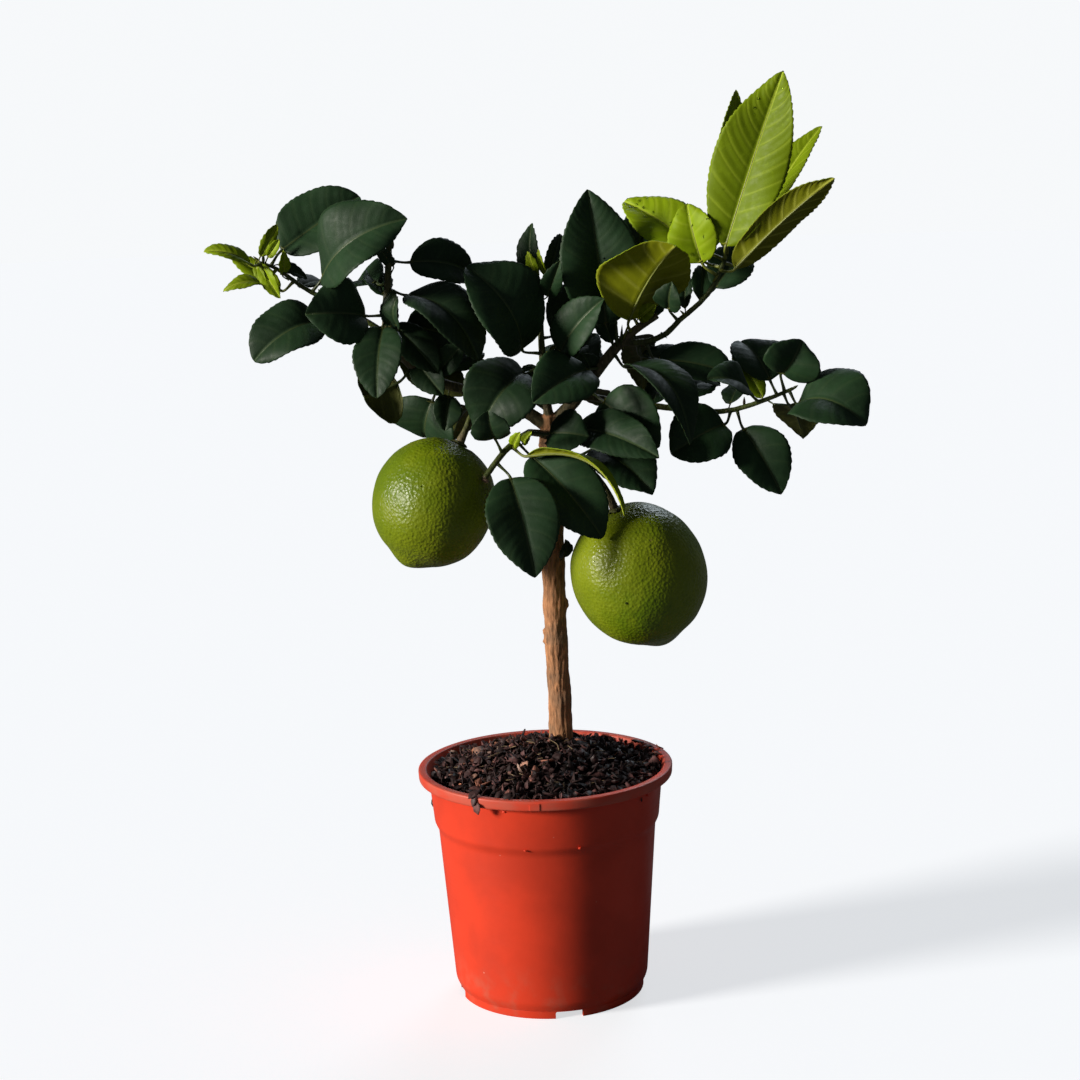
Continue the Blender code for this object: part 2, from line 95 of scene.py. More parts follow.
class LEMON_PG_bed(bpy.types.PropertyGroup):
    """Sizes and colours of the potting mix and the husks on it."""

    soil: bpy.props.FloatVectorProperty(
        name="Soil", description="Colour of the fine mix between the husks",
        subtype="COLOR", default=(0.010, 0.007, 0.006), min=0, max=1,
    )
    husk: bpy.props.FloatVectorProperty(
        name="Husk", description="Usual colour of the husks",
        subtype="COLOR", default=(0.047, 0.021, 0.020), min=0, max=1,
    )
    husk_length: bpy.props.FloatProperty(
        name="Husk length", description="Length of a usual husk",
        default=0.0064, min=0.002, unit="LENGTH",
    )
    husk_count: bpy.props.IntProperty(
        name="Husks", description="Number of husks over the mix", default=2300, min=1, max=4000,
    )


class LEMON_PG_wood(bpy.types.PropertyGroup):
    """Sizes and colours of the trunk, twigs and stalks."""

    bark: bpy.props.FloatVectorProperty(
        name="Bark", description="Colour of the trunk's bark",
        subtype="COLOR", default=(0.56, 0.262, 0.122), min=0, max=1,
    )
    green_bark: bpy.props.FloatVectorProperty(
        name="Green bark", description="Colour of the youngest twigs",
        subtype="COLOR", default=(0.075, 0.10, 0.020), min=0, max=1,
    )
    ridge: bpy.props.FloatProperty(
        name="Ridges", description="Height of the ridges along the trunk",
        default=0.00045, min=0, unit="LENGTH",
    )


class LEMON_PG_fruit(bpy.types.PropertyGroup):
    """Sizes and colours of the lemons."""

    peel: bpy.props.FloatVectorProperty(
        name="Peel", description="Colour of the unripe peel",
        subtype="COLOR", default=(0.112, 0.180, 0.003), min=0, max=1,
    )
    pale_peel: bpy.props.FloatVectorProperty(
        name="Pale peel", description="Colour of the peel where it starts to ripen",
        subtype="COLOR", default=(0.245, 0.290, 0.006), min=0, max=1,
    )
    pore: bpy.props.FloatProperty(
        name="Pore depth", description="Depth of the oil glands' pits",
        default=0.00026, min=0, unit="LENGTH",
    )
    pore_spacing: bpy.props.FloatProperty(
        name="Pore spacing", description="Distance between neighbouring pits",
        default=0.0018, min=0.0005, unit="LENGTH",
    )


class LEMON_PG_leaf(bpy.types.PropertyGroup):
    """Sizes and colours of the leaves."""

    mature: bpy.props.FloatVectorProperty(
        name="Mature leaf", description="Colour of a full-grown leaf's upper face",
        subtype="COLOR", default=(0.0145, 0.041, 0.0140), min=0, max=1,
    )
    mature_under: bpy.props.FloatVectorProperty(
        name="Mature underside", description="Colour of a full-grown leaf's lower face",
        subtype="COLOR", default=(0.082, 0.092, 0.018), min=0, max=1,
    )
    # Partly painted light: both young faces are the leaf's own yellow-green, brightened to stand in for light
    # shining through the thin blade.
    young: bpy.props.FloatVectorProperty(
        name="Young leaf", description="Colour of a new leaf's upper face",
        subtype="COLOR", default=(0.205, 0.300, 0.004), min=0, max=1,
    )
    young_under: bpy.props.FloatVectorProperty(
        name="Young underside", description="Colour of a new leaf's lower face",
        subtype="COLOR", default=(0.205, 0.225, 0.004), min=0, max=1,
    )
    thickness: bpy.props.FloatProperty(
        name="Thickness", description="Thickness of the blades", default=0.00034, min=0.0001,
        unit="LENGTH",
    )
    tooth: bpy.props.FloatProperty(
        name="Tooth spacing", description="Distance between the teeth of a leaf's edge",
        default=0.0026, min=0.001, unit="LENGTH",
    )
    tooth_depth: bpy.props.FloatProperty(
        name="Tooth depth", description="Depth of the teeth of a leaf's edge",
        default=0.00078, min=0, unit="LENGTH",
    )
    vein_spacing: bpy.props.FloatProperty(
        name="Vein spacing", description="Distance between the side veins along the midrib",
        default=0.0068, min=0.002, unit="LENGTH",
    )
    vein_depth: bpy.props.FloatProperty(
        name="Vein depth", description="Depth of the side veins in the upper face",
        default=0.00020, min=0, unit="LENGTH",
    )


class LEMON_PG_stage(bpy.types.PropertyGroup):
    """The studio round the tree."""

    floor: bpy.props.FloatVectorProperty(
        name="Floor", description="Colour of the floor", subtype="COLOR",
        default=(0.56, 0.58, 0.62), min=0, max=1,
    )
    glow: bpy.props.FloatProperty(
        name="Floor glow", description="Light that the floor shows of its own, which softens shadows",
        default=0.66, min=0,
    )
    key: bpy.props.FloatProperty(
        name="Key light", description="Strength of the light from the left", default=4.6, min=0,
    )
    fill: bpy.props.FloatProperty(
        name="Sky fill", description="Strength of the light from all round", default=0.080, min=0,
    )
    lens: bpy.props.FloatProperty(
        name="Lens", description="Focal length in millimetres", default=79.0, min=1,
    )
    tilt: bpy.props.FloatProperty(
        name="Tilt", description="How far the camera looks down", subtype="ANGLE",
        default=math.radians(11.1),
    )
    roll: bpy.props.FloatProperty(
        name="Roll", description="How far the camera leans to one side", subtype="ANGLE",
        default=math.radians(-1.82),
    )


class LEMON_PG_tree(bpy.types.PropertyGroup):
    """All the settings of the tree."""

    pot: bpy.props.PointerProperty(type=LEMON_PG_pot, name="Pot", description="The pot")
    bed: bpy.props.PointerProperty(type=LEMON_PG_bed, name="Bed", description="The mix and husks")
    wood: bpy.props.PointerProperty(type=LEMON_PG_wood, name="Wood", description="The wood")
    fruit: bpy.props.PointerProperty(type=LEMON_PG_fruit, name="Fruit", description="The lemons")
    leaf: bpy.props.PointerProperty(type=LEMON_PG_leaf, name="Leaf", description="The leaves")
    stage: bpy.props.PointerProperty(type=LEMON_PG_stage, name="Stage", description="The studio")


# ---------------------------------------------------------------- shader nodes


class Shader:
    """A material with one Principled shader, and short calls for the nodes that feed it."""

    def __init__(self, name, roughness=0.5, **values):
        self.material = bpy.data.materials.new(name)
        self.material.use_nodes = True
        self.tree = self.material.node_tree
        self.principled = self.tree.nodes["Principled BSDF"]
        self.principled.inputs["Roughness"].default_value = roughness
        for key, value in values.items():
            self.principled.inputs[key.replace("_", " ")].default_value = value

    def node(self, kind, links=(), **settings):
        """A node with its settings, its inputs linked to sockets or set to values."""
        made = self.tree.nodes.new("ShaderNode" + kind)
        for key, value in settings.items():
            setattr(made, key, value)
        for key, value in dict(links).items():
            if isinstance(value, bpy.types.NodeSocket):
                self.tree.links.new(value, made.inputs[key])
            else:
                made.inputs[key].default_value = value
        return made

    def place(self, scale=(1, 1, 1), turn=(0, 0, 0)):
        """Object coordinates in metres, stretched and turned."""
        source = self.node("TexCoord").outputs["Object"]
        mapping = self.node("Mapping", {"Vector": source, "Scale": scale, "Rotation": turn})
        return mapping.outputs["Vector"]

    def attribute(self, name):
        return self.node("Attribute", attribute_name=name).outputs["Fac"]

    def noise(self, vector, scale, detail=3.0, rough=0.55):
        values = {"Vector": vector, "Scale": scale, "Detail": detail, "Roughness": rough}
        return self.node("TexNoise", values).outputs["Fac"]

    def cells(self, vector, scale, feature="F1"):
        values = {"Vector": vector, "Scale": scale}
        return self.node("TexVoronoi", values, feature=feature).outputs["Distance"]

    def math(self, operation, a, b=0.0, clamp=False):
        made = self.node("Math", {0: a, 1: b}, operation=operation, use_clamp=clamp)
        return made.outputs[0]

    def range(self, value, low, high, to_low=0.0, to_high=1.0):
        """A smooth step of value from low to high."""
        values = {"Value": value, "From Min": low, "From Max": high, "To Min": to_low, "To Max": to_high}
        return self.node("MapRange", values, interpolation_type="SMOOTHSTEP").outputs["Result"]

    def mix(self, share, a, b, blend="MIX"):
        values = {0: share, 6: colour4(a), 7: colour4(b)}
        made = self.node("Mix", values, data_type="RGBA", blend_type=blend)
        return made.outputs[2]

    def ramp(self, value, *stops):
        """A colour ramp through (place, colour) stops."""
        made = self.node("ValToRGB", {"Fac": value})
        elements = made.color_ramp.elements
        while len(elements) < len(stops):
            elements.new(0.5)
        for element, (place, colour) in zip(elements, stops):
            element.position = place
            element.color = colour4(colour)
        return made.outputs["Color"]

    def colour(self, socket):
        self.tree.links.new(socket, self.principled.inputs["Base Color"])

    def rough(self, socket):
        self.tree.links.new(socket, self.principled.inputs["Roughness"])

    def bump(self, height, distance, strength=1.0, under=None):
        """Fine relief of that many metres, over the relief that under makes."""
        values = {"Height": height, "Distance": distance, "Strength": strength}
        if under is not None:
            values["Normal"] = under
        return self.node("Bump", values).outputs["Normal"]

    def normal(self, socket):
        self.tree.links.new(socket, self.principled.inputs["Normal"])


def colour4(value):
    """A colour with its alpha, or the socket that makes it."""
    if isinstance(value, bpy.types.NodeSocket):
        return value
    value = tuple(value)
    return value if len(value) == 4 else value + (1.0,)


def plastic_material(pot):
    """Moulded plastic: satin, cloudy, specked, with dust and rubbing on the rim."""
    look = Shader("moulded_plastic", 0.42, Specular_IOR_Level=0.32)
    where = look.place()
    cloud = look.noise(where, 22, 4)
    body = look.mix(look.range(cloud, 0.35, 0.7), pot.plastic, [c * 0.80 for c in pot.plastic])
    height = look.node("SeparateXYZ", {0: where}).outputs["Z"]
    rim = look.range(height, POT_HIGH.z - 0.0075, POT_HIGH.z - 0.0052)
    patchy = look.range(look.noise(look.place((60, 60, 160)), 1, 3), 0.30, 0.62, 0.25, 1.0)
    body = look.mix(look.math("MULTIPLY", rim, patchy), body, pot.worn_plastic)
    dust = look.range(height, 0.035, 0.004)
    dust = look.math("MULTIPLY", dust, look.range(look.noise(where, 90, 5), 0.45, 0.75))
    body = look.mix(look.math("MULTIPLY", dust, 0.35), body, (0.50, 0.20, 0.13))
    specks = look.range(look.cells(where, 150), 0.075, 0.035)
    sparse = look.range(look.noise(where, 40, 1), 0.62, 0.70)
    body = look.mix(look.math("MULTIPLY", specks, sparse), body, (0.85, 0.48, 0.38))
    scuffs = look.range(look.noise(look.place((30, 30, 900)), 1, 2), 0.60, 0.72)
    look.colour(body)
    grain = look.noise(where, 700, 2)
    dull = look.math("ADD", look.range(cloud, 0.3, 0.7, 0.36, 0.47), look.math("MULTIPLY", scuffs, 0.08))
    look.rough(look.math("ADD", dull, look.math("MULTIPLY", rim, 0.08)))
    fine = look.bump(grain, 0.00004, 0.5)
    look.normal(look.bump(look.noise(where, 120, 2), 0.00012, 0.5, fine))
    return look.material


def soil_material(bed):
    """Fine dark mix between the husks."""
    look = Shader("soil", 0.95, Specular_IOR_Level=0.2)
    where = look.place()
    crumbs = look.cells(where, 420)
    shade = look.range(look.noise(where, 160, 4), 0.3, 0.75)
    look.colour(look.mix(shade, bed.soil, [c * 2.4 for c in bed.soil]))
    look.normal(look.bump(crumbs, 0.0012, 0.9))
    return look.material


def husk_material(bed):
    """Dry seed husks and bark flakes: brown to black, a few rosy, tan or pale."""
    look = Shader("husk", 0.72, Specular_IOR_Level=0.35)
    shade = look.attribute("shade")
    r, g, b = bed.husk
    tones = look.ramp(
        shade,
        (0.00, (0.35 * r, 0.33 * g, 0.35 * b)),
        (0.45, (0.9 * r, 0.8 * g, 0.8 * b)),
        (0.72, (2.6 * r, 2.5 * g, 2.5 * b)),
        (0.84, (5.2 * r, 4.6 * g, 4.3 * b)),
        (0.93, (11 * r, 9.5 * g, 5.5 * b)),
        (1.00, (9 * r, 13 * g, 11 * b)),
    )
    where = look.place()
    fleck = look.range(look.noise(where, 380, 4), 0.35, 0.70)
    look.colour(look.mix(look.math("MULTIPLY", fleck, 0.65), tones, (0.006, 0.004, 0.004)))
    look.rough(look.range(look.noise(where, 260, 2), 0.3, 0.7, 0.50, 0.85))
    grain = look.noise(look.place((900, 300, 900)), 1, 3)
    look.normal(look.bump(grain, 0.00022, 0.8))
    return look.material


def straw_material():
    """Thin pale fibres."""
    look = Shader("straw", 0.7)
    look.colour(look.mix(look.noise(look.place(), 300, 2), (0.34, 0.24, 0.12), (0.10, 0.06, 0.035)))
    return look.material


def bark_material(wood):
    """Tan furrowed bark on the trunk, that turns dark and then green on the thin twigs."""
    look = Shader("bark", 0.72, Specular_IOR_Level=0.3)
    girth = look.attribute("girth")
    where = look.place()
    along = look.place((1, 1, 0.22))
    streak = look.noise(along, 620, 5, 0.62)
    patch = look.noise(where, 55, 3)
    tan = look.ramp(
        streak,
        (0.28, [c * 0.30 for c in wood.bark]),
        (0.46, [c * 0.72 for c in wood.bark]),
        (0.60, wood.bark),
        (0.74, [min(1, c * 1.45) for c in wood.bark]),
    )
    tan = look.mix(look.range(patch, 0.45, 0.68, 0.0, 0.55), tan, (0.17, 0.115, 0.075))
    limb = look.mix(look.range(streak, 0.35, 0.65), (0.055, 0.050, 0.022), (0.150, 0.120, 0.060))
    twig = look.mix(look.range(streak, 0.4, 0.6), [c * 0.55 for c in wood.green_bark], wood.green_bark)
    thick = look.range(girth, 0.0082, 0.0112)
    thin = look.range(girth, 0.0044, 0.0030)
    body = look.mix(thick, limb, tan)
    body = look.mix(thin, body, twig)
    dots = look.range(look.cells(look.place((1, 1, 0.5)), 330), 0.20, 0.10)
    body = look.mix(look.math("MULTIPLY", dots, 0.5), body, (0.34, 0.26, 0.16))
    scar = look.attribute("scar")
    look.colour(look.mix(scar, body, (0.045, 0.026, 0.018)))
    look.rough(look.range(girth, 0.0030, 0.0090, 0.48, 0.86))
    fine = look.bump(streak, 0.0006, 0.8)
    look.normal(look.bump(look.noise(where, 1500, 2), 0.0001, 0.5, fine))
    return look.material


def peel_material(fruit):
    """Waxy green peel with fine pits, paler on one side, and darkened in its pits as painted shade."""
    look = Shader("peel", 0.34, Specular_IOR_Level=0.33)
    where = look.place()
    pits = look.attribute("pit")
    ripe = look.attribute("ripe")
    mottled = look.noise(where, 60, 5, 0.6)
    body = look.mix(look.range(mottled, 0.40, 0.66, 0.0, 0.45), fruit.peel, fruit.pale_peel)
    body = look.mix(look.math("MULTIPLY", ripe, 0.75), body, fruit.pale_peel)
    # Painted shade: the peel is darkened in its pits, where shade would fall.
    dark = [c * 0.45 for c in fruit.peel]
    body = look.mix(look.math("MULTIPLY", pits, 0.34), body, dark)
    blemish = look.range(look.noise(where, 130, 4, 0.7), 0.69, 0.74)
    look.colour(look.mix(look.math("MULTIPLY", blemish, 0.55), body, (0.16, 0.12, 0.03)))
    look.rough(look.math("ADD", look.range(mottled, 0.3, 0.7, 0.30, 0.42), look.math("MULTIPLY", pits, 0.1)))
    fine = look.bump(look.cells(where, 1300), 0.00010, 0.4)
    look.normal(look.bump(look.cells(where, 590), 0.00040, 0.75, fine))
    return look.material


def calyx_material():
    """The dry green star that holds a lemon to its stalk."""
    look = Shader("calyx", 0.6)
    look.colour(look.mix(look.noise(look.place(), 500, 3), (0.050, 0.075, 0.014), (0.16, 0.15, 0.045)))
    look.normal(look.bump(look.noise(look.place(), 900, 3), 0.0003, 0.7))
    return look.material


def leaf_material(name, blade, vein, roughness, relief, clouds=0.5, shine=0.28, veined=0.42):
    """A leaf's face: a cloudy blade colour, paler veins and midrib, and a fine grain.

    The UV map runs across the blade in U, with the midrib at 0.5, and along it in V.
    """
    look = Shader(name, roughness, Specular_IOR_Level=shine)
    tone = look.attribute("tone")
    where = look.place()
    lush = look.mix(tone, [c * 0.72 for c in blade], [min(1, c * 1.35) for c in blade])
    cloud = look.range(look.noise(where, 75, 4), 0.32, 0.72)
    lush = look.mix(look.math("MULTIPLY", cloud, clouds), lush, [c * 0.55 for c in blade])
    blotch = look.range(look.noise(where, 210, 5, 0.65), 0.55, 0.72)
    lush = look.mix(look.math("MULTIPLY", blotch, 0.25), lush, [min(1, c * 1.5 + 0.006) for c in blade])
    uv = look.node("SeparateXYZ", {0: look.node("UVMap", uv_map="UVMap").outputs["UV"]})
    off = look.math("ABSOLUTE", look.math("SUBTRACT", uv.outputs["X"], 0.5))
    width = look.attribute("half_width")
    metres = look.math("MULTIPLY", off, look.math("MULTIPLY", width, 2.0))
    midrib = look.range(metres, 0.00105, 0.00035)
    side = look.attribute("vein")
    veins = look.math("MAXIMUM", midrib, look.math("MULTIPLY", side, veined))
    edge = look.math("MULTIPLY", look.range(off, 0.475, 0.5), 0.35)
    body = look.mix(look.math("MAXIMUM", veins, edge), lush, vein)
    look.colour(body)
    gloss = look.range(look.noise(where, 320, 3), 0.3, 0.7, roughness - 0.05, roughness + 0.09)
    look.rough(gloss)
    net = look.bump(look.cells(where, 1150, "DISTANCE_TO_EDGE"), 0.00006 * relief, 0.6)
    look.normal(look.bump(look.noise(where, 420, 3), 0.00012 * relief, 0.5, net))
    return look.material


def stalk_material(name, colour):
    """A leaf's green stalk and midrib."""
    look = Shader(name, 0.45)
    look.colour(look.mix(look.noise(look.place(), 260, 3), [c * 0.6 for c in colour], colour))
    look.normal(look.bump(look.noise(look.place(), 800, 2), 0.0001, 0.5))
    return look.material


def water_material():
    """Clear drops."""
    look = Shader("water", 0.03, IOR=1.33, Transmission_Weight=1.0)
    look.principled.inputs["Base Color"].default_value = (0.97, 1.0, 0.97, 1)
    return look.material


# ---------------------------------------------------------------- mesh helpers


def finish_piece(shape, name, materials, slot, *nodes):
    """Ends a piece: an object at the origin with the bmesh's mesh, riding on the tree's one body."""
    mesh = bpy.data.meshes.new(name)
    shape.to_mesh(mesh)
    shape.free()
    for material in materials:
        mesh.materials.append(material)
    mesh.shade_smooth()
    piece = bpy.data.objects.new(name, mesh)
    bpy.context.scene.collection.objects.link(piece)
    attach(piece, "root")
    if nodes:
        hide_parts(*nodes)
    return piece


def merged_copy(node, near=0.000004):
    """A bmesh of a CAD node with its loose triangles joined."""
    shape = bmesh.new()
    shape.from_mesh(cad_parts[node].data)
    bmesh.ops.remove_doubles(shape, verts=shape.verts, dist=near)
    return shape


def node_tree(node):
    """A search tree over a CAD node's faces."""
    shape = merged_copy(node)
    found = BVHTree.FromBMesh(shape)
    shape.free()
    return found


def spun(profile, steps, close=False):
    """A shape turned round Z from a profile of (radius, height), joined up where it meets itself."""
    shape = bmesh.new()
    points = [shape.verts.new((radius, 0, height)) for radius, height in profile]
    edges = [shape.edges.new(pair) for pair in zip(points, points[1:])]
    if close:
        edges.append(shape.edges.new((points[-1], points[0])))
    bmesh.ops.spin(
        shape, geom=points + edges, cent=(0, 0, 0), axis=(0, 0, 1), angle=2 * math.pi,
        steps=steps, use_merge=True,
    )
    bmesh.ops.remove_doubles(shape, verts=shape.verts, dist=0.000002)
    bmesh.ops.recalc_face_normals(shape, faces=shape.faces)
    return shape


def rounded(corners, steps=4):
    """A profile through (radius, height, rounding) corners, each replaced by an arc-like curve."""
    points = []
    for i, (x, z, size) in enumerate(corners):
        here = Vector((x, z))
        if size <= 0:
            points.append((x, z))
            continue
        before = Vector(corners[i - 1][:2]) - here
        after = Vector(corners[(i + 1) % len(corners)][:2]) - here
        reach = min(size, 0.45 * before.length, 0.45 * after.length)
        start = here + before.normalized() * reach
        end = here + after.normalized() * reach
        for k in range(steps + 1):
            t = k / steps
            points.append(tuple(start.lerp(here, t).lerp(here.lerp(end, t), t)))
    return points


def frame_matrix(place, forward, up, size=1.0):
    """The matrix that carries Z to forward and Y towards up, at place."""
    forward = forward.normalized()
    side = up.cross(forward)
    if side.length < 1e-6:
        side = forward.orthogonal()
    side.normalize()
    top = forward.cross(side)
    turn = Matrix((side, top, forward)).transposed().to_4x4()
    return Matrix.Translation(place) @ turn @ Matrix.Diagonal((size, size, size, 1))


def sweep(shape, path, radii, sides=8, up=UP, index=0):
    """A closed round tube along a path, made by extruding one ring from point to point."""
    made = bmesh.ops.create_circle(shape, cap_ends=True, segments=sides, radius=1)
    ring = made["verts"]
    everything = list(ring)
    faces = list({face for vert in ring for face in vert.link_faces})
    edges = [edge for edge in faces[0].edges]
    forwards = []
    for i, point in enumerate(path):
        forwards.append((path[min(i + 1, len(path) - 1)] - path[max(i - 1, 0)]).normalized())
    here = frame_matrix(path[0], forwards[0], up, radii[0])
    bmesh.ops.transform(shape, matrix=here, verts=ring)
    for point, forward, radius in zip(path[1:], forwards[1:], radii[1:]):
        top = here.to_3x3() @ Vector((0, 1, 0))
        there = frame_matrix(point, forward, top, radius)
        grown = bmesh.ops.extrude_edge_only(shape, edges=edges)["geom"]
        ring = [item for item in grown if isinstance(item, bmesh.types.BMVert)]
        ends = set(ring)
        edges = [
            item for item in grown
            if isinstance(item, bmesh.types.BMEdge) and item.verts[0] in ends and item.verts[1] in ends
        ]
        bmesh.ops.transform(shape, matrix=there @ here.inverted(), verts=ring)
        everything += ring
        here = there
    capped = bmesh.ops.holes_fill(shape, edges=edges, sides=sides)
    faces = {face for vert in everything for face in vert.link_faces} | set(capped["faces"])
    bmesh.ops.recalc_face_normals(shape, faces=sorted(faces, key=lambda face: face.index))
    for face in faces:
        face.material_index = index
    return everything


def smooth_line(points, steps):
    """Points on a smooth curve through the given points."""
    ends = [points[0] * 2 - points[1]] + list(points) + [points[-1] * 2 - points[-2]]
    line = []
    for a, b, c, d in zip(ends, ends[1:], ends[2:], ends[3:]):
        for k in range(steps):
            t = k / steps
            line.append(0.5 * (
                2 * b + (c - a) * t + (2 * a - 5 * b + 4 * c - d) * t * t
                + (3 * b - a - 3 * c + d) * t ** 3
            ))
    return line + [points[-1].copy()]


def chaos(place, scale, seed=0.0):
    """Smooth noise from -1 to 1 at a place, for features of about 1 / scale metres."""
    return noise.noise(Vector(place) * scale + Vector((seed, 1.7 * seed, -seed)))


# ---------------------------------------------------------------- pot


WALL = 0.0012
RIM_WIDTH = 0.0045
RIM_DEPTH = 0.0062
RIM_OVERHANG = 0.0058
COLLAR_DEPTH = 0.0290
COLLAR_TAPER = 0.0022
COLLAR_STEP = 0.0040
STEP_INSET = 0.0020
BODY_TAPER = 0.0064
FOOT_INSET = 0.0026
FOOT_WIDTH = 0.0028
FOOT_HEIGHT = 0.0042
FLOOR = 0.0016
DRAIN_RADIUS = 0.0045
DRAIN_COUNT = 8
NOTCH_WIDTH = 0.0150
NOTCH_ANGLES = (-80, 10, 100, 190)
POT_STEPS = 240


def pot_profile(rounding):
    """The pot's closed section: inner side from the middle drain hole up, over the rim and down."""
    top, rim = POT_HIGH.z, POT_HIGH.x
    collar = rim - RIM_OVERHANG
    collar_foot = collar - COLLAR_TAPER
    body = collar_foot - STEP_INSET
    base = body - BODY_TAPER
    foot = base - FOOT_INSET
    step_top = top - COLLAR_DEPTH
    soft = 0.6 * rounding
    return rounded([
        (DRAIN_RADIUS, FOOT_HEIGHT + FLOOR, 0),
        (base - 2.0 * WALL, FOOT_HEIGHT + FLOOR, 2 * rounding),
        (body - WALL, step_top - COLLAR_STEP, rounding),
        (collar_foot - WALL, step_top, rounding),
        (collar - WALL, top - RIM_DEPTH, rounding),
        (rim - RIM_WIDTH, top, soft),
        (rim, top, rounding),
        (rim - 0.3 * rounding, top - RIM_DEPTH + soft, rounding),
        (collar, top - RIM_DEPTH, soft),
        (collar_foot, step_top, 1.2 * rounding),
        (body, step_top - COLLAR_STEP, 1.6 * rounding),
        (base, 0.0085, 2 * rounding),
        (foot + 0.25 * FOOT_INSET, FOOT_HEIGHT + 0.0003, rounding),
        (foot, FOOT_HEIGHT - 0.0003, 0.3 * soft),
        (foot, 0, 0.5 * soft),
        (foot - FOOT_WIDTH, 0, 0.5 * soft),
        (foot - FOOT_WIDTH, FOOT_HEIGHT, 0),
        (DRAIN_RADIUS, FOOT_HEIGHT, 0),
    ]), foot


def pot_cutter(foot):
    """The notches across the foot ring and the drain holes, as one cutting shape."""
    shape = bmesh.new()
    for angle in NOTCH_ANGLES:
        box = bmesh.ops.create_cube(shape, size=1)["verts"]
        bmesh.ops.scale(shape, vec=(4 * FOOT_WIDTH, NOTCH_WIDTH, 1.86 * FOOT_HEIGHT), verts=box)
        edges = [e for e in {e for v in box for e in v.link_edges} if abs((e.verts[0].co - e.verts[1].co).x) > 0.005]
        edges.sort(key=lambda e: e.index)
        bmesh.ops.bevel(
            shape, geom=edges, offset=0.0010, segments=3, profile=0.5, affect="EDGES", material=-1,
        )
    shape.verts.ensure_lookup_table()
    per_box = len(shape.verts) // len(NOTCH_ANGLES)
    for i, angle in enumerate(NOTCH_ANGLES):
        turn = Matrix.Rotation(math.radians(angle), 4, "Z") @ Matrix.Translation((foot - FOOT_WIDTH / 2, 0, 0))
        group = [v for v in shape.verts if v.index // per_box == i]
        bmesh.ops.transform(shape, matrix=turn, verts=group)
    for i in range(DRAIN_COUNT):
        angle = 2 * math.pi * i / DRAIN_COUNT
        place = Matrix.Translation((
            0.65 * foot * math.cos(angle), 0.65 * foot * math.sin(angle), FOOT_HEIGHT + FLOOR / 2,
        ))
        bmesh.ops.create_cone(
            shape, cap_ends=True, segments=40, radius1=DRAIN_RADIUS, radius2=DRAIN_RADIUS,
            depth=3 * FLOOR, matrix=place,
        )
    return shape


def subtract(shape, cutter):
    """The shape less the cutter, by Blender's exact Boolean."""
    objects = []
    for name, source in (("uncut", shape), ("cutter", cutter)):
        mesh = bpy.data.meshes.new(name)
        source.to_mesh(mesh)
        source.free()
        objects.append(bpy.data.objects.new(name, mesh))
        bpy.context.scene.collection.objects.link(objects[-1])
    body, tool = objects
    cut = body.modifiers.new("cut", "BOOLEAN")
    cut.object = tool
    cut.operation = "DIFFERENCE"
    bpy.context.view_layer.update()
    result = bmesh.new()
    result.from_object(body, bpy.context.evaluated_depsgraph_get())
    for obj in objects:
        mesh = obj.data
        bpy.data.objects.remove(obj)
        bpy.data.meshes.remove(mesh)
    return result


def raise_patch(shape, angle, span, low, high, rise):
    """Raises a rectangle of the outer wall: angle and half span in radians, heights in metres."""
    chosen = []
    for face in shape.faces:
        middle = face.calc_center_median()
        turned = math.atan2(middle.y, middle.x) - angle
        if abs(turned) < span and low < middle.z < high and face.normal.dot(middle) > 0.02:
            chosen.append(face)
    if not chosen:
        raise RuntimeError("no wall faces where the patch should be")
    bmesh.ops.inset_region(shape, faces=chosen, thickness=0.00018, depth=0)
    moved = {vert for face in chosen for vert in face.verts}
    for vert in moved:
        out = Vector((vert.co.x, vert.co.y, 0)).normalized()
        vert.co += out * rise


class LEMON_OT_pot(bpy.types.Operator):
    """Models the moulded pot with its rim, collar, foot notches and drain holes."""

    bl_idname = "lemon_tree.pot"
    bl_label = "Pot"

    def execute(self, context):
        pot = context.scene.lemon_tree.pot
        profile, foot = pot_profile(pot.rounding)
        shape = spun(profile, POT_STEPS, close=True)
        tab = math.radians(-90 - 5.0)
        raise_patch(shape, tab, 0.0475, POT_HIGH.z - 0.0050, POT_HIGH.z - 0.0014, 0.00042)
        for vert in shape.verts:
            wave = chaos((vert.co.x, vert.co.y, 0.4 * vert.co.z), 22, 4.0)
            out = Vector((vert.co.x, vert.co.y, 0))
            if out.length > 0.04 and vert.co.z > FOOT_HEIGHT:
                vert.co -= out.normalized() * 0.00022 * (1 + wave)
        shape = subtract(shape, pot_cutter(foot))
        plastic = plastic_material(pot)
        piece = finish_piece(shape, "nursery_pot", [plastic], "pot_plastic", "pot")
        piece.data.set_sharp_from_angle(angle=math.radians(38))
        self.marks(plastic)
        return {"FINISHED"}

    @staticmethod
    def marks(plastic):
        """Beads of plastic that ran under the rim and along the collar's foot."""
        shape = bmesh.new()
        for x, z, size in ((-0.0225, 0.1196, 0.0007), (-0.0120, 0.0983, 0.0006), (0.0170, 0.0985, 0.0008),
                           (0.0540, 0.1180, 0.0006)):
            radius = POT_HIGH.x - RIM_OVERHANG - (POT_HIGH.z - RIM_DEPTH - z) * 0.075
            y = -math.sqrt(max(0, radius * radius - x * x))
            bead = bmesh.ops.create_icosphere(shape, subdivisions=3, radius=size)["verts"]
            bmesh.ops.scale(shape, vec=(1.5, 0.75, 0.9), verts=bead)
            spin = Matrix.Rotation(math.atan2(x, -y), 4, "Z")
            bmesh.ops.transform(shape, matrix=Matrix.Translation((x, y, z)) @ spin, verts=bead)
        finish_piece(shape, "pot_moulding_beads", [plastic], "pot_plastic")


# ---------------------------------------------------------------- mix and husks


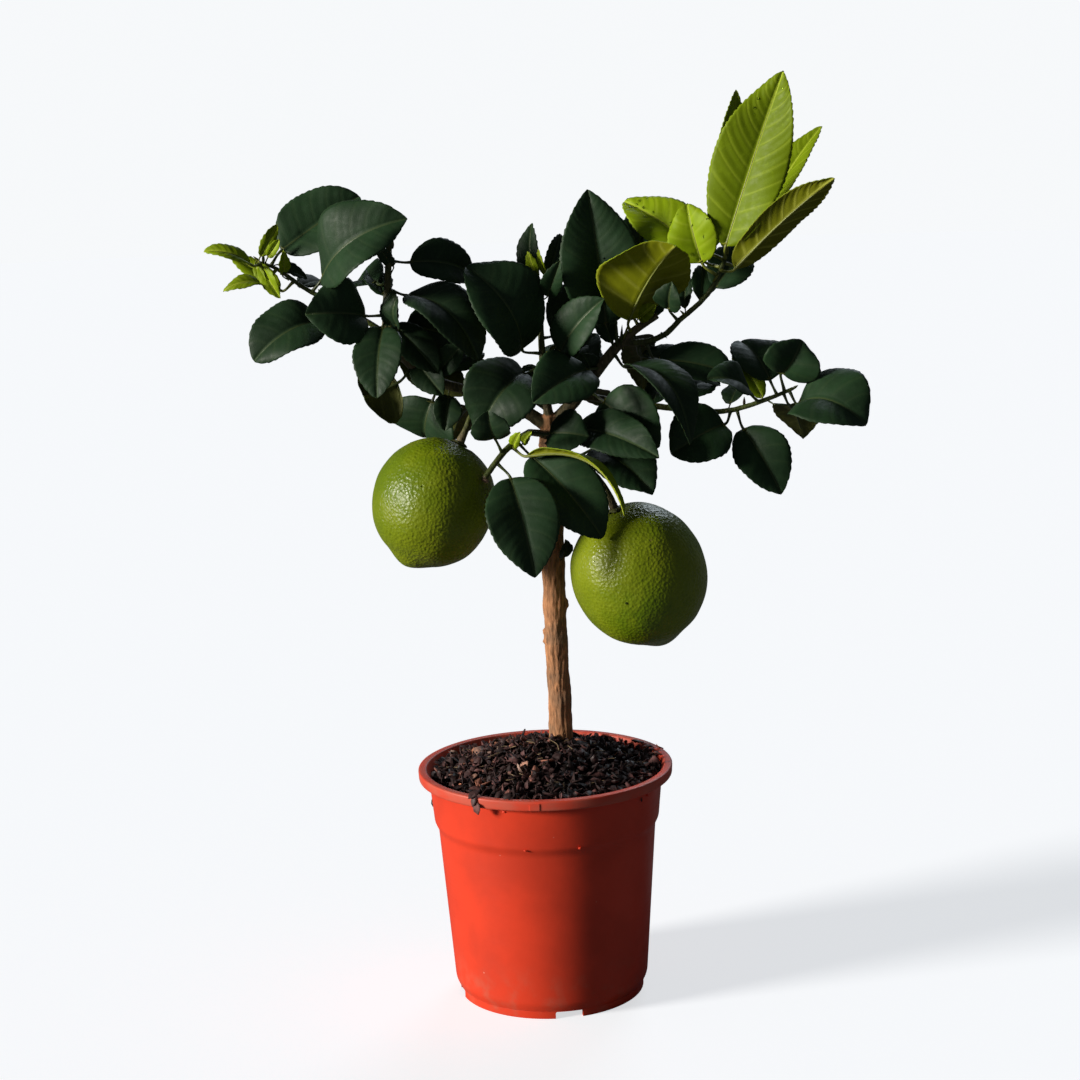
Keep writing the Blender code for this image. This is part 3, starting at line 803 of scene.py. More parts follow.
class Ground:
    """The surface of the potting mix, and the trunk that stands in it."""

    def __init__(self):
        self.tree = node_tree("potting_mix")
        self.wood = node_tree("tree_wood")
        hit = self.wood.ray_cast(Vector((-0.2, 0.015, MIX_HIGH.z + 0.002)), Vector((1, 0, 0)))
        back = self.wood.ray_cast(Vector((0.2, 0.015, MIX_HIGH.z + 0.002)), Vector((-1, 0, 0)))
        self.trunk = (hit[0] + back[0]) / 2
        self.edge = POT_HIGH.x - RIM_OVERHANG - WALL

    def height(self, x, y):
        """Height of the mix at a place, held at the mix's top height over the root hollow and steep spots."""
        hit = self.tree.ray_cast(Vector((x, y, 0.3)), Vector((0, 0, -1)))
        if hit[0] is None or hit[1].z < 0.3 or hit[0].z < MIX_HIGH.z - 0.02:
            return MIX_HIGH.z
        return hit[0].z


def husk_shape(rng):
    """One husk: a pointed, boat-shaped flake, one unit long."""
    shape = bmesh.new()
    bmesh.ops.create_grid(shape, x_segments=2, y_segments=3, size=0.5)
    width = rng.uniform(0.42, 0.80)
    curl = rng.uniform(0.15, 0.55)
    bow = rng.uniform(-0.15, 0.30)
    lean = rng.uniform(-0.2, 0.2)
    for vert in shape.verts:
        across, along = 2 * vert.co.x, 2 * vert.co.y
        wide = width * math.sqrt(max(0.02, 1 - abs(along) ** rng.uniform(1.6, 2.6)))
        vert.co.x = 0.5 * across * wide + lean * along * along * 0.3
        vert.co.z = curl * wide * (across * across - 0.5) * 0.6 - bow * along * along
        vert.co += Vector([rng.uniform(-0.035, 0.035) for _ in range(3)])
    bmesh.ops.solidify(shape, geom=shape.faces[:], thickness=0.05)
    bmesh.ops.recalc_face_normals(shape, faces=shape.faces)
    mesh = bpy.data.meshes.new("husk_master")
    shape.to_mesh(mesh)
    shape.free()
    return mesh


def scatter(masters, placements, batch=120):
    """One bmesh of copies of the master meshes, one for each (index, matrix, shade)."""
    whole = bmesh.new()
    whole.verts.layers.float.new("shade")
    for start in range(0, len(placements), batch):
        part = bmesh.new()
        layer = part.verts.layers.float.new("shade")
        for index, matrix, shade in placements[start:start + batch]:
            before = len(part.verts)
            part.from_mesh(masters[index])
            part.verts.ensure_lookup_table()
            fresh = part.verts[before:]
            bmesh.ops.transform(part, matrix=matrix, verts=fresh)
            for vert in fresh:
                vert[layer] = shade
        mesh = bpy.data.meshes.new("batch")
        part.to_mesh(mesh)
        part.free()
        whole.from_mesh(mesh)
        bpy.data.meshes.remove(mesh)
    return whole


def husk_placements(ground, rng, count, length, kinds):
    """Where the husks lie: in rough layers over the heap, steeper the higher they lie."""
    placed = []
    while len(placed) < count:
        radius = ground.edge * math.sqrt(rng.random()) * 0.995
        angle = rng.uniform(0, 2 * math.pi)
        x, y = radius * math.cos(angle), radius * math.sin(angle)
        size = length * rng.choice((0.55, 0.75, 0.9, 1.0, 1.1, 1.35))
        off_trunk = math.hypot(x - ground.trunk.x, y - ground.trunk.y) - 0.0062
        if off_trunk < 0.18 * size or radius > ground.edge - 0.30 * size:
            continue
        layer = rng.random()
        heap = 0.0016 * chaos((x, y, 0), 95, 2.0) + 0.0012 * chaos((x, y, 0), 210, 5.0)
        z = ground.height(x, y) + heap + (0.0014 + 0.0032 * layer)
        tilt = rng.gauss(0, 0.30 + 0.55 * layer)
        turn = (
            Matrix.Translation((x, y, z))
            @ Matrix.Rotation(rng.uniform(0, 2 * math.pi), 4, "Z")
            @ Matrix.Rotation(tilt, 4, "X")
            @ Matrix.Rotation(rng.gauss(0, 0.5), 4, "Y")
            @ Matrix.Scale(size, 4)
        )
        # Painted light: husks on the left half, towards the key light, are made lighter and those on the right half
        # darker.
        shade = min(1.0, max(0.0, rng.betavariate(1.15, 1.75) + (0.08 if x < 0 else -0.04)))
        placed.append((rng.randrange(kinds), turn, shade))
    return placed


class LEMON_OT_bed(bpy.types.Operator):
    """Models the heaped potting mix, with a crumbly surface."""

    bl_idname = "lemon_tree.bed"
    bl_label = "Potting Mix"

    def execute(self, context):
        bed = context.scene.lemon_tree.bed
        ground = Ground()
        rings = 46
        wall = POT_HIGH.x - RIM_OVERHANG - WALL - 0.0004
        heap = []
        for i in range(rings + 1):
            radius = wall * i / rings
            heap.append((radius, ground.height(-radius if radius > 0.001 else -0.001, 0.0)))
        edge_z = heap[-2][1]
        heap[-1] = (wall, edge_z)
        taper = COLLAR_TAPER / (COLLAR_DEPTH - RIM_DEPTH)
        lower = [(wall - 0.004 * taper, edge_z - 0.004), (wall - 0.0095, edge_z - 0.035), (0, edge_z - 0.036)]
        shape = spun(heap + lower, 150)
        for vert in shape.verts:
            if vert.co.z > edge_z - 0.002:
                rough = chaos(vert.co, 95, 2.0) * 0.0014 + chaos(vert.co, 420, 3.0) * 0.0007
                vert.co.z += rough + 0.0010
        finish_piece(shape, "soil_heap", [soil_material(bed)], "mulch", "potting_mix")
        return {"FINISHED"}


class LEMON_OT_husks(bpy.types.Operator):
    """Scatters the husks, flakes and straws over the mix, and the few that hang over the rim."""

    bl_idname = "lemon_tree.husks"
    bl_label = "Husks"

    def execute(self, context):
        bed = context.scene.lemon_tree.bed
        rng = random.Random(7)
        ground = Ground()
        masters = [husk_shape(rng) for _ in range(14)]
        material = husk_material(bed)
        places = husk_placements(ground, rng, bed.husk_count, bed.husk_length, len(masters))
        places += self.strays(rng, bed.husk_length, len(masters))
        shape = scatter(masters, places)
        finish_piece(shape, "husk_mulch", [material], "mulch")
        for mesh in masters:
            bpy.data.meshes.remove(mesh)
        self.straws(ground, rng)
        return {"FINISHED"}

    @staticmethod
    def strays(rng, length, kinds):
        """Husks that stick to the rim and hang over it: place, size, tilt and shade of each."""
        rim, top = POT_HIGH.x, POT_HIGH.z
        rows = (
            (-123, rim + 0.0002, top - 0.0010, 1.15, 1.15, 0.66),
            (-121, rim + 0.0010, top - 0.0052, 1.05, 1.35, 0.80),
            (-124, rim - 0.0020, top + 0.0012, 1.2, 0.50, 0.50),
            (-108, rim - 0.0040, top + 0.0010, 1.0, 0.70, 0.40),
            (-113, rim - 0.0050, top + 0.0014, 0.9, 0.90, 0.25),
            (24, rim - 0.0060, top + 0.0010, 1.15, 0.30, 0.74),
            (16, rim - 0.0066, top + 0.0012, 1.10, 0.75, 0.80),
            (10, rim - 0.0062, top + 0.0008, 1.05, 0.55, 0.86),
            (33, rim - 0.0078, top + 0.0012, 1.10, 0.25, 0.50),
            (20, rim - 0.0022, top + 0.0006, 0.90, 0.60, 0.90),
            (-176, 0.0, top - 0.0185, 0.75, 1.50, 0.10),
            (-38, 0.0, top - 0.0100, 0.40, 1.55, 0.05),
        )
        pot = node_tree("pot")
        placed = []
        for angle, radius, z, size, tilt, shade in rows:
            if not radius:
                inward = Vector((-math.cos(math.radians(angle)), -math.sin(math.radians(angle)), 0))
                hit = pot.ray_cast(Vector((0, 0, z)) - inward * 0.3, inward)
                radius = 0.3 - hit[3] + 0.0005
            turn = (
                Matrix.Rotation(math.radians(angle), 4, "Z")
                @ Matrix.Translation((radius, 0, z))
                @ Matrix.Rotation(tilt, 4, "Y")
                @ Matrix.Rotation(rng.uniform(-0.5, 0.5) + math.pi / 2, 4, "Z")
                @ Matrix.Scale(size * length, 4)
            )
            placed.append((rng.randrange(kinds), turn, shade))
        return placed

    @staticmethod
    def straws(ground, rng):
        """Thin pale fibres that lie between the husks."""
        shape = bmesh.new()
        for _ in range(70):
            radius = (ground.edge - 0.008) * math.sqrt(rng.random())
            angle = rng.uniform(0, 2 * math.pi)
            x, y = radius * math.cos(angle), radius * math.sin(angle)
            if math.hypot(x - ground.trunk.x, y - ground.trunk.y) < 0.010:
                continue
            start = Vector((x, y, ground.height(x, y) + rng.uniform(0.0034, 0.0062)))
            heading = rng.uniform(0, 2 * math.pi)
            reach = rng.uniform(0.004, 0.010)
            along = Vector((math.cos(heading), math.sin(heading), rng.uniform(-0.15, 0.45))) * reach
            bow = Vector((-along.y, along.x, 0)) * rng.uniform(-0.2, 0.2)
            path = [start - along / 2, start + bow, start + along / 2]
            width = rng.uniform(0.00012, 0.00028)
            sweep(shape, smooth_line(path, 3), [width] * 7, sides=4)
        finish_piece(shape, "straw_bits", [straw_material()], "mulch")


# ---------------------------------------------------------------- wood


WOOD_VOXEL = 0.00062
PRUNING_SCARS = (
    ((0.0165, 0.0125, 0.2145), 0.0042, 0.0011),
    ((0.0020, 0.0140, 0.1960), 0.0050, 0.0012),
    ((0.0010, 0.0060, 0.3060), 0.0055, 0.0009),
)


def remeshed(shape, voxel):
    """A bmesh with an even skin of quads round the shape."""
    mesh = bpy.data.meshes.new("skin")
    shape.to_mesh(mesh)
    shape.free()
    obj = bpy.data.objects.new("skin", mesh)
    bpy.context.scene.collection.objects.link(obj)
    skin = obj.modifiers.new("skin", "REMESH")
    skin.mode = "VOXEL"
    skin.voxel_size = voxel
    bpy.context.view_layer.update()
    result = bmesh.new()
    result.from_object(obj, bpy.context.evaluated_depsgraph_get())
    bpy.data.objects.remove(obj)
    bpy.data.meshes.remove(mesh)
    return result


def girths(shape):
    """Each vertex's local thickness of wood, straight through the twig, smoothed along it."""
    tree = BVHTree.FromBMesh(shape)
    shape.normal_update()
    widths = []
    for vert in shape.verts:
        inward = -vert.normal
        hit = tree.ray_cast(vert.co + inward * 0.00015, inward)
        widths.append(min(0.016, hit[3] + 0.00015) if hit[0] is not None else 0.003)
    for _ in range(6):
        fresh = []
        for vert in shape.verts:
            total, count = widths[vert.index] * 2, 2
            for edge in vert.link_edges:
                total += widths[edge.other_vert(vert).index]
                count += 1
            fresh.append(total / count)
        widths = fresh
    return widths


class LEMON_OT_wood(bpy.types.Operator):
    """Grows bark over the trunk, limbs, twigs and stalks, which stay one piece of wood."""

    bl_idname = "lemon_tree.wood"
    bl_label = "Wood"

    def execute(self, context):
        wood = context.scene.lemon_tree.wood
        shape = remeshed(merged_copy("tree_wood"), WOOD_VOXEL)
        bmesh.ops.smooth_vert(
            shape, verts=shape.verts, factor=0.5, use_axis_x=True, use_axis_y=True, use_axis_z=True,
        )
        widths = girths(shape)
        girth = shape.verts.layers.float.new("girth")
        scar = shape.verts.layers.float.new("scar")
        moves = []
        for vert in shape.verts:
            place, thick = vert.co, widths[vert.index]
            vert[girth] = thick
            share = min(1.0, thick / 0.0125) ** 1.5
            along = Vector((place.x, place.y, place.z * 0.16))
            ridge = chaos(along, 780, 1.0) + 0.6 * chaos(along, 1700, 6.0)
            lump = chaos(place, 110, 8.0)
            move = share * (wood.ridge * (ridge - 0.35) + 0.00050 * lump)
            for centre, reach, rise in PRUNING_SCARS:
                near = max(0.0, 1 - (place - Vector(centre)).length / reach)
                ring = math.sin(math.pi * min(1.0, near * 1.35))
                move += rise * ring * ring
                vert[scar] = max(vert[scar], min(1.0, 2.2 * max(0.0, near - 0.45)))
            moves.append(vert.normal * move)
        for vert, move in zip(shape.verts, moves):
            vert.co += move
        finish_piece(shape, "barked_wood", [bark_material(wood)], "bark", "tree_wood")
        return {"FINISHED"}


# ---------------------------------------------------------------- lemons


LEMON_RINGS = 208
LEMON_STEPS = 360


def lemon_axis(node, wood):
    """The lemon's stalk end, its direction to the blossom end, its length and its diameter."""
    shape = merged_copy(node)
    top = min(shape.verts, key=lambda vert: wood.find_nearest(vert.co)[3]).co.copy()
    bottom = max(shape.verts, key=lambda vert: (vert.co - top).length).co.copy()
    along = (bottom - top).normalized()
    radius = max(((v.co - top) - along * (v.co - top).dot(along)).length for v in shape.verts)
    shape.free()
    return top, along, (bottom - top).length, 2 * radius


def lemon_shape(diameter, length, nipple=0.0030):
    """A closed lemon that hangs from height 0, with a dimple at its stalk and a point below."""
    shape = bmesh.new()
    bmesh.ops.create_uvsphere(shape, u_segments=LEMON_STEPS, v_segments=LEMON_RINGS, radius=1)
    for vert in shape.verts:
        angle = math.acos(max(-1.0, min(1.0, vert.co.z)))
        round_part = math.sin(angle)
        radius = diameter / 2 * round_part ** 0.92
        height = -(length - nipple) / 2 * (1 - math.cos(angle))
        if angle < math.pi / 2:
            height -= 0.0010 * max(0.0, 1 - (radius / (0.11 * diameter)) ** 2)
        else:
            height -= nipple * max(0.0, 1 - (radius / (0.22 * diameter)) ** 2) ** 2
        share = radius / round_part if round_part > 1e-6 else 0.0
        vert.co = (vert.co.x * share, vert.co.y * share, height)
    return shape


def pit_depth(place, spacing):
    """How deep in a pit a place on the peel is, from 0 to 1."""
    distances, _ = noise.voronoi(place / spacing)
    near = max(0.0, 1 - distances[0] / 0.48)
    return near * near * (3 - 2 * near)


class LEMON_OT_fruit(bpy.types.Operator):
    """Models the two lemons, pitted all over, each with its calyx."""

    bl_idname = "lemon_tree.fruit"
    bl_label = "Lemons"

    def execute(self, context):
        fruit = context.scene.lemon_tree.fruit
        peel, calyx = peel_material(fruit), calyx_material()
        wood = node_tree("tree_wood")
        for i, node in enumerate(("lemon_left", "lemon_right")):
            top, along, length, diameter = lemon_axis(node, wood)
            shape = lemon_shape(diameter, length)
            self.pit(shape, fruit, diameter, 20.0 * i)
            turn = Matrix.Translation(top) @ (-along).to_track_quat("Z", "Y").to_matrix().to_4x4()
            bmesh.ops.transform(shape, matrix=turn, verts=shape.verts)
            finish_piece(shape, node + "_peel", [peel], "lemon_peel", node)
            self.calyx(node + "_calyx", turn, calyx, i)
        return {"FINISHED"}

    @staticmethod
    def pit(shape, fruit, diameter, seed):
        """Sinks the pits and the broad dents, and notes the pits and the ripening side."""
        shape.normal_update()
        pit_layer = shape.verts.layers.float.new("pit")
        ripe_layer = shape.verts.layers.float.new("ripe")
        moves = []
        for vert in shape.verts:
            place = vert.co + Vector((seed, 0, 0)) * 0.01
            pit = pit_depth(place, fruit.pore_spacing)
            fine = pit_depth(place * 1.9 + Vector((0.3, 0.1, 0)), fruit.pore_spacing)
            broad = noise.noise(place * 32) * 0.0010 + noise.noise(place * 90) * 0.00035
            ends = min(1.0, math.hypot(vert.co.x, vert.co.y) / (0.16 * diameter))
            # The pit attribute also sets where the peel gets its painted shade.
            vert[pit_layer] = min(1.0, pit + 0.45 * fine)
            vert[ripe_layer] = min(1.0, max(0.0, 0.35 + 0.9 * noise.noise(place * 26 + Vector((3, 0, 0)))))
            sink = fruit.pore * (pit + 0.4 * fine) * (0.35 + 0.65 * ends)
            moves.append(vert.normal * (broad * ends - 0.0005 - sink))
        for vert, move in zip(shape.verts, moves):
            vert.co += move

    @staticmethod
    def calyx(name, turn, material, seed):
        """A five-lobed button, domed, on the stalk end."""
        shape = bmesh.new()
        bmesh.ops.create_uvsphere(shape, u_segments=40, v_segments=12, radius=0.0042)
        for vert in shape.verts:
            angle = math.atan2(vert.co.y, vert.co.x)
            lobes = 1 + 0.17 * math.cos(5 * angle + seed) + 0.05 * math.cos(11 * angle)
            vert.co.x *= lobes
            vert.co.y *= lobes
            out = math.hypot(vert.co.x, vert.co.y) / 0.0042
            vert.co.z = vert.co.z * 0.26 - 0.0005 * out * out - 0.0002
        bmesh.ops.transform(shape, matrix=turn, verts=shape.verts)
        finish_piece(shape, name, [material], "bark")


# ---------------------------------------------------------------- leaves


Blade = namedtuple("Blade", "foot outward base bend tip up half_width")
WIDEST = 0.46  # share of the blade's length at which it is widest
FOLD = 0.24  # rise of the edge above the midrib, as a share of the half width
SPREAD = 1.07  # how much wider a blade is than its solid, whose edge runs between the teeth


def leaf_rings(node, wood):
    """The leaf's cross sections in order from the bark to the tip, six points in each."""
    shape = merged_copy(node)
    start = min(shape.verts, key=lambda vert: wood.find_nearest(vert.co)[3])
    ring = sorted(shape.verts, key=lambda vert: (vert.co - start.co).length)[:6]
    seen, rings = set(ring), []
    while ring:
        if len(ring) != 6:
            raise RuntimeError(node + " isn't made of rings of six points")
        rings.append([vert.co.copy() for vert in ring])
        beyond = {edge.other_vert(vert) for vert in ring for edge in vert.link_edges} - seen
        ring = sorted(beyond, key=lambda vert: vert.index)
        seen |= beyond
    shape.free()
    return rings


def mean(points):
    return sum(points, Vector()) / len(points)


def upper_middle(ring, side, up):
    """The point of a cross section that lies on the midrib's upper side."""
    across = sorted(ring, key=lambda point: point.dot(side))
    return max(across[2:4], key=lambda point: point.dot(up))


def blade_of(node, wood):
    """A leaf's blade as its CAD solid lies: one arch, an upward direction and a half width."""
    rings = leaf_rings(node, wood)
    wide = rings[4]
    pairs = [(a, b) for i, a in enumerate(wide) for b in wide[i + 1:]]
    left, right = max(pairs, key=lambda pair: (pair[0] - pair[1]).length)
    side = (right - left).normalized()
    across = sorted(wide, key=lambda point: point.dot(side))
    up = mean(across[:2] + across[4:]) - mean(across[2:4])
    up = (up - side * up.dot(side)).normalized()
    middle = max(across[2:4], key=lambda point: point.dot(up))
    base = upper_middle(rings[1], side, up)
    tip = upper_middle(rings[-1], side, up)
    t = WIDEST
    bend = (middle - base * (1 - t) ** 2 - tip * t * t) / (2 * t * (1 - t))
    foot = mean(rings[0])
    outward = mean(rings[1]) - foot
    half_width = SPREAD * (across[-1] - across[0]).dot(side) / 2
    chord = tip - base
    up = (up - chord * up.dot(chord) / chord.length_squared).normalized()
    return Blade(foot, outward.normalized(), base, bend, tip, up, half_width)


def arch_point(blade, t):
    """Place, forward, side and up at a share of the blade's length."""
    place = blade.base.lerp(blade.bend, t).lerp(blade.bend.lerp(blade.tip, t), t)
    forward = (blade.bend - blade.base).lerp(blade.tip - blade.bend, t).normalized()
    side = forward.cross(blade.up).normalized()
    return place, forward, side, side.cross(forward)


Traits = namedtuple("Traits", "seed sharp wave twist tone fold")


def traits_of(name, young):
    """A leaf's own character, from its name."""
    seed = sum((i + 3) * ord(letter) for i, letter in enumerate(name)) % 9973
    rng = random.Random(seed)
    return Traits(
        seed=rng.uniform(0, 50),
        sharp=rng.uniform(0.00, 0.22),
        wave=rng.uniform(0.3, 1.0) * (1.25 if young else 1.0),
        twist=rng.uniform(-0.10, 0.10),
        tone=rng.random(),
        fold=FOLD * FOLDS.get(name, 1.0),
    )


def outline_share(t, sharp):
    """Half width at a share of the blade's length, as a share of the widest."""
    if t <= 0 or t >= 1:
        return 0.0
    return math.sin(math.pi * t ** 0.88) ** (0.60 + sharp * t)


def add_blade(shape, blade, traits, look, veins_deep=1.0):
    """The blade: a grid bent to the arch, folded, veined and toothed, then given its thickness."""
    length = (blade.bend - blade.base).length * 0.5 + (blade.tip - blade.bend).length * 0.5
    length = (length + (blade.tip - blade.base).length) / 2
    teeth = max(4, round(length / look.tooth))
    rows, columns = 4 * teeth, 22
    uv = shape.loops.layers.uv.get("UVMap") or shape.loops.layers.uv.new("UVMap")
    layers = {}
    for key in ("tone", "vein", "half_width"):
        layers[key] = shape.verts.layers.float.get(key) or shape.verts.layers.float.new(key)
    made = bmesh.ops.create_grid(shape, x_segments=columns, y_segments=rows, size=1)["verts"]
    faces = sorted({face for vert in made for face in vert.link_faces}, key=lambda face: face.index)
    for face in faces:
        face.material_index = 0
        for loop in face.loops:
            loop[uv].uv = (loop.vert.co.x / 2 + 0.5, loop.vert.co.y / 2 + 0.5)
    veins = max(4.0, length / look.vein_spacing)
    climb = min(0.2, 0.9 * blade.half_width / length)
    for vert in made:
        v, along = vert.co.x, min(1.0, max(0.0, vert.co.y / 2 + 0.5))
        out = abs(v)
        t = along + 4 * climb * along * (1 - along) * out * (1 + 0.4 * out) / 1.4
        place, forward, side, up = arch_point(blade, t)
        bank = traits.twist * (t - 0.4) * 2
        side, up = side * math.cos(bank) + up * math.sin(bank), up * math.cos(bank) - side * math.sin(bank)
        half = blade.half_width * max(0.012, outline_share(t, traits.sharp))
        phase = (t * teeth + (0.0 if v > 0 else 0.37)) % 1.0
        tooth = phase ** 0.7 if phase < 0.8 else (1 - phase) / 0.2
        fade = min(1.0, half / (0.3 * blade.half_width)) * min(1.0, 6 * t)
        reach = half + look.tooth_depth * fade * (tooth - 0.7) * max(0.0, (out - 0.75) / 0.25)
        across = v * reach
        rise = traits.fold * half * out + 0.05 * half * math.sin(math.pi * out)
        rise -= 0.03 * half * out ** 5
        course = along * veins + 0.5 + (0.0 if v > 0 else 0.45)
        gap = abs(course % 1.0 - 0.5) * length / veins
        vein = math.exp(-((gap / 0.00046) ** 2)) * min(1.0, 8 * out) * min(1.0, 6 * (1.04 - out))
        pillow = 0.00035 * math.sin(math.pi * (course % 1.0)) * math.sin(math.pi * min(1.0, out))
        calm = min(1.0, half / (0.4 * blade.half_width))
        rise += calm * veins_deep * (pillow * 0.9 - look.vein_depth * vein)
        rise -= 0.00042 * math.exp(-((across / 0.0008) ** 2))
        ripple = math.sin(2 * math.pi * (1.6 * t + 0.13 * traits.seed) + (0 if v > 0 else 2.1))
        rise += calm * 0.095 * blade.half_width * traits.wave * out * out * ripple
        rise += calm * 0.0017 * out * chaos(place + side * across, 60, traits.seed)
        vert.co = place + side * across + up * rise
        vert[layers["tone"]] = traits.tone
        vert[layers["vein"]] = vein
        vert[layers["half_width"]] = half
    upper = set(faces)
    shape.normal_update()
    shell = bmesh.ops.solidify(shape, geom=faces, thickness=look.thickness)["geom"]
    lower = [item for item in shell if isinstance(item, bmesh.types.BMVert)]
    for above, below in zip(made, lower, strict=True):
        drop = below.co - above.co
        if drop.length > 1.3 * look.thickness:  # at the pinched tip the shell would run off
            below.co = above.co + drop.normalized() * look.thickness
    for item in shell:
        if isinstance(item, bmesh.types.BMFace) and item not in upper:
            item.material_index = 1


def add_stalk(shape, blade, look, thickness=0.00085):
    """The stalk from the bark, and the midrib that it runs on into under the blade."""
    path, radii = [], []
    curve = (blade.base - blade.foot).length
    tangent = (blade.bend - blade.base).normalized()
    a, d = blade.foot - blade.outward * 0.0009, blade.base - blade.up * 0.0004
    b, c = a + blade.outward * curve * 0.35, d - tangent * curve * 0.35
    for k in range(9):
        t = k / 8
        path.append(
            a * (1 - t) ** 3 + b * 3 * t * (1 - t) ** 2 + c * 3 * t * t * (1 - t) + d * t ** 3
        )
        radii.append(thickness * (1.28 - 0.45 * math.sin(math.pi * min(1, t * 0.8))))
    for k in range(1, 15):
        t = k / 15 * 0.97
        place, _, _, up = arch_point(blade, t)
        radius = thickness * (0.92 * (1 - t) ** 0.8 + 0.06)
        path.append(place - up * (0.00040 + 0.55 * radius))
        radii.append(radius)
    sweep(shape, path, radii, sides=8, up=blade.up, index=2)


def make_leaf(name, blade, look, materials, young, slot, *nodes):
    """One leaf, blade and stalk together."""
    shape = bmesh.new()
    add_blade(shape, blade, traits_of(name, young), look, veins_deep=1.2 if young else 0.7)
    add_stalk(shape, blade, look)
    return finish_piece(shape, name, materials, slot, *nodes)


# Small leaves: a place by the twig and the reach to the tip in millimetres, the width, the side
# that the upper face looks to, and the kind.
SMALL_LEAVES = (
    ((-127, 4, 385), (12, 22, 0), 15, (0, -5, 8), "mature"),
    ((-73, -6, 368), (4, -8, 23), 12, (-4, -8, 1), "mature"),
    ((8, 2, 381), (9, -16, 21), 12, (1, -8, 4), "mature"),
    ((10, 6, 389), (10, 20, 25), 11, (3, -8, 3), "mature"),
    ((44, 2, 354), (-6, 14, 24), 13, (-2, -8, 3), "mature"),
    ((4, 6, 346), (-13, 12, -17), 15, (-2, -8, 4), "mature"),
    ((90, 12, 377), (3, 18, 18), 13, (2, -8, 3), "mature"),
    ((81, 4, 373), (2, 14, 21), 9, (-3, -8, 2), "mature"),
    ((63, 14, 368), (7, 16, 15), 12, (2, -8, 4), "mature"),
    ((124, 14, 323), (-14, 22, 25), 14, (0, -8, 4), "young"),
    ((3, 0, 399), (-6, -5, 16), 7, (-4, -8, 1), "young"),
    ((13, 3, 398), (-3, -6, 17), 5, (-5, -7, 1), "young"),
    ((99, 3, 412), (-1, 4, 16), 6, (-2, -8, 1), "young"),
    ((53, 2, 371), (10, -9, 11), 9, (2, -8, 3), "young"),
    ((-144, 0, 409), (5, -6, -12), 6, (-4, -8, 2), "young"),
    ((-142, 0, 406), (11, -8, -19), 9, (-4, -8, 3), "young"),
    ((-131, -1, 392), (-1, -4, 15), 7, (5, -8, 1), "young"),
    ((-142, 0, 406), (10, 4, 19), 8, (3, -8, 2), "young"),
    ((-138, 0, 407), (8, -4, 12), 6, (2, -8, 3), "young"),
    ((-134, 1, 404), (17, 6, -8), 8, (1, -7, 6), "mature"),
    ((-18, -22, 301), (7, -5, 10), 7, (-2, -8, 3), "young"),
    ((-10, -20, 303), (8, -5, 7), 6, (-1, -8, 4), "young"),
    ((13, 4, 240), (3, -11, 13), 9, (3, -8, 3), "mature"),
    ((-72, 3, 398), (-6, -7, 15), 8, (-3, -8, 2), "mature"),
    ((-57, 1, 345), (13, 12, 15), 13, (-1, -8, 4), "mature"),
    ((-22, 4, 330), (-8, 15, 18), 13, (1, -8, 4), "mature"),
    ((24, 6, 338), (9, 20, 18), 14, (1, -8, 4), "mature"),
    ((60, 10, 322), (12, 22, 10), 14, (0, -7, 6), "mature"),
    ((-34, 3, 336), (12, 18, -14), 14, (0, -6, 6), "mature"),
    ((6, 6, 362), (-16, 18, 14), 14, (-2, -6, 5), "mature"),
    ((88, 6, 320), (6, 20, -16), 13, (2, -6, 5), "mature"),
    ((-76, 1, 372), (25, -9, -27), 20, (2, -8, 3), "mature"),
    ((-72, 3, 360), (37, 9, -29), 25, (1, 8, -3), "mature"),
    ((-52, 0, 341), (15, -8, 17), 15, (-2, -8, 2), "mature"),
    ((-28, 3, 334), (2, 8, -24), 15, (-1, -8, 2), "mature"),
    ((-66, 0, 351), (17, -10, -19), 17, (-2, -8, 3), "mature"),
    ((-20, 3, 331), (-11, -14, 15), 17, (1, -8, 3), "mature"),
    ((-44, 1, 337), (-3, -12, -20), 16, (2, -8, 4), "mature"),
    ((40, 8, 325), (18, -12, -13), 17, (-1, -8, 4), "mature"),
    ((60, 12, 322), (-14, -13, -18), 15, (2, -8, 3), "mature"),
    ((30, 4, 336), (-4, -14, 17), 14, (3, -8, 3), "mature"),
    ((10, 6, 318), (-25, 27, 8), 19, (0, 6, 6), "mature"),
    ((22, 5, 328), (20, 31, -10), 19, (0, 5, 7), "mature"),
    ((-60, 1, 344), (-16, 25, 12), 18, (-2, 5, 7), "mature"),
    ((48, 3, 358), (18, 27, -8), 18, (2, 5, 7), "mature"),
    ((104, 5, 320), (12, 23, 13), 16, (1, 4, 7), "mature"),
    ((6, 4, 352), (19, 25, 3), 17, (0, 5, 7), "mature"),
    ((-76, 2, 385), (-9, 24, 12), 16, (-2, 5, 7), "mature"),
    ((-108, 0, 386), (10, 24, -10), 16, (0, 5, 7), "mature"),
)


def small_blade(wood, place, reach, width, face):
    """The blade of a small leaf that grows from the bark nearest to a place."""
    bark, normal, _, _ = wood.find_nearest(Vector(place) * MM)
    reach = Vector(reach) * MM
    outward = (reach.normalized() + 0.8 * normal).normalized()
    base = bark + outward * 0.0028
    tip = bark + reach
    chord = tip - base
    up = Vector(face)
    up = (up - chord * up.dot(chord) / chord.length_squared).normalized()
    bend = (base + tip) / 2 + up * chord.length * 0.13
    return Blade(bark, outward, base, bend, tip, up, width * MM / 2)


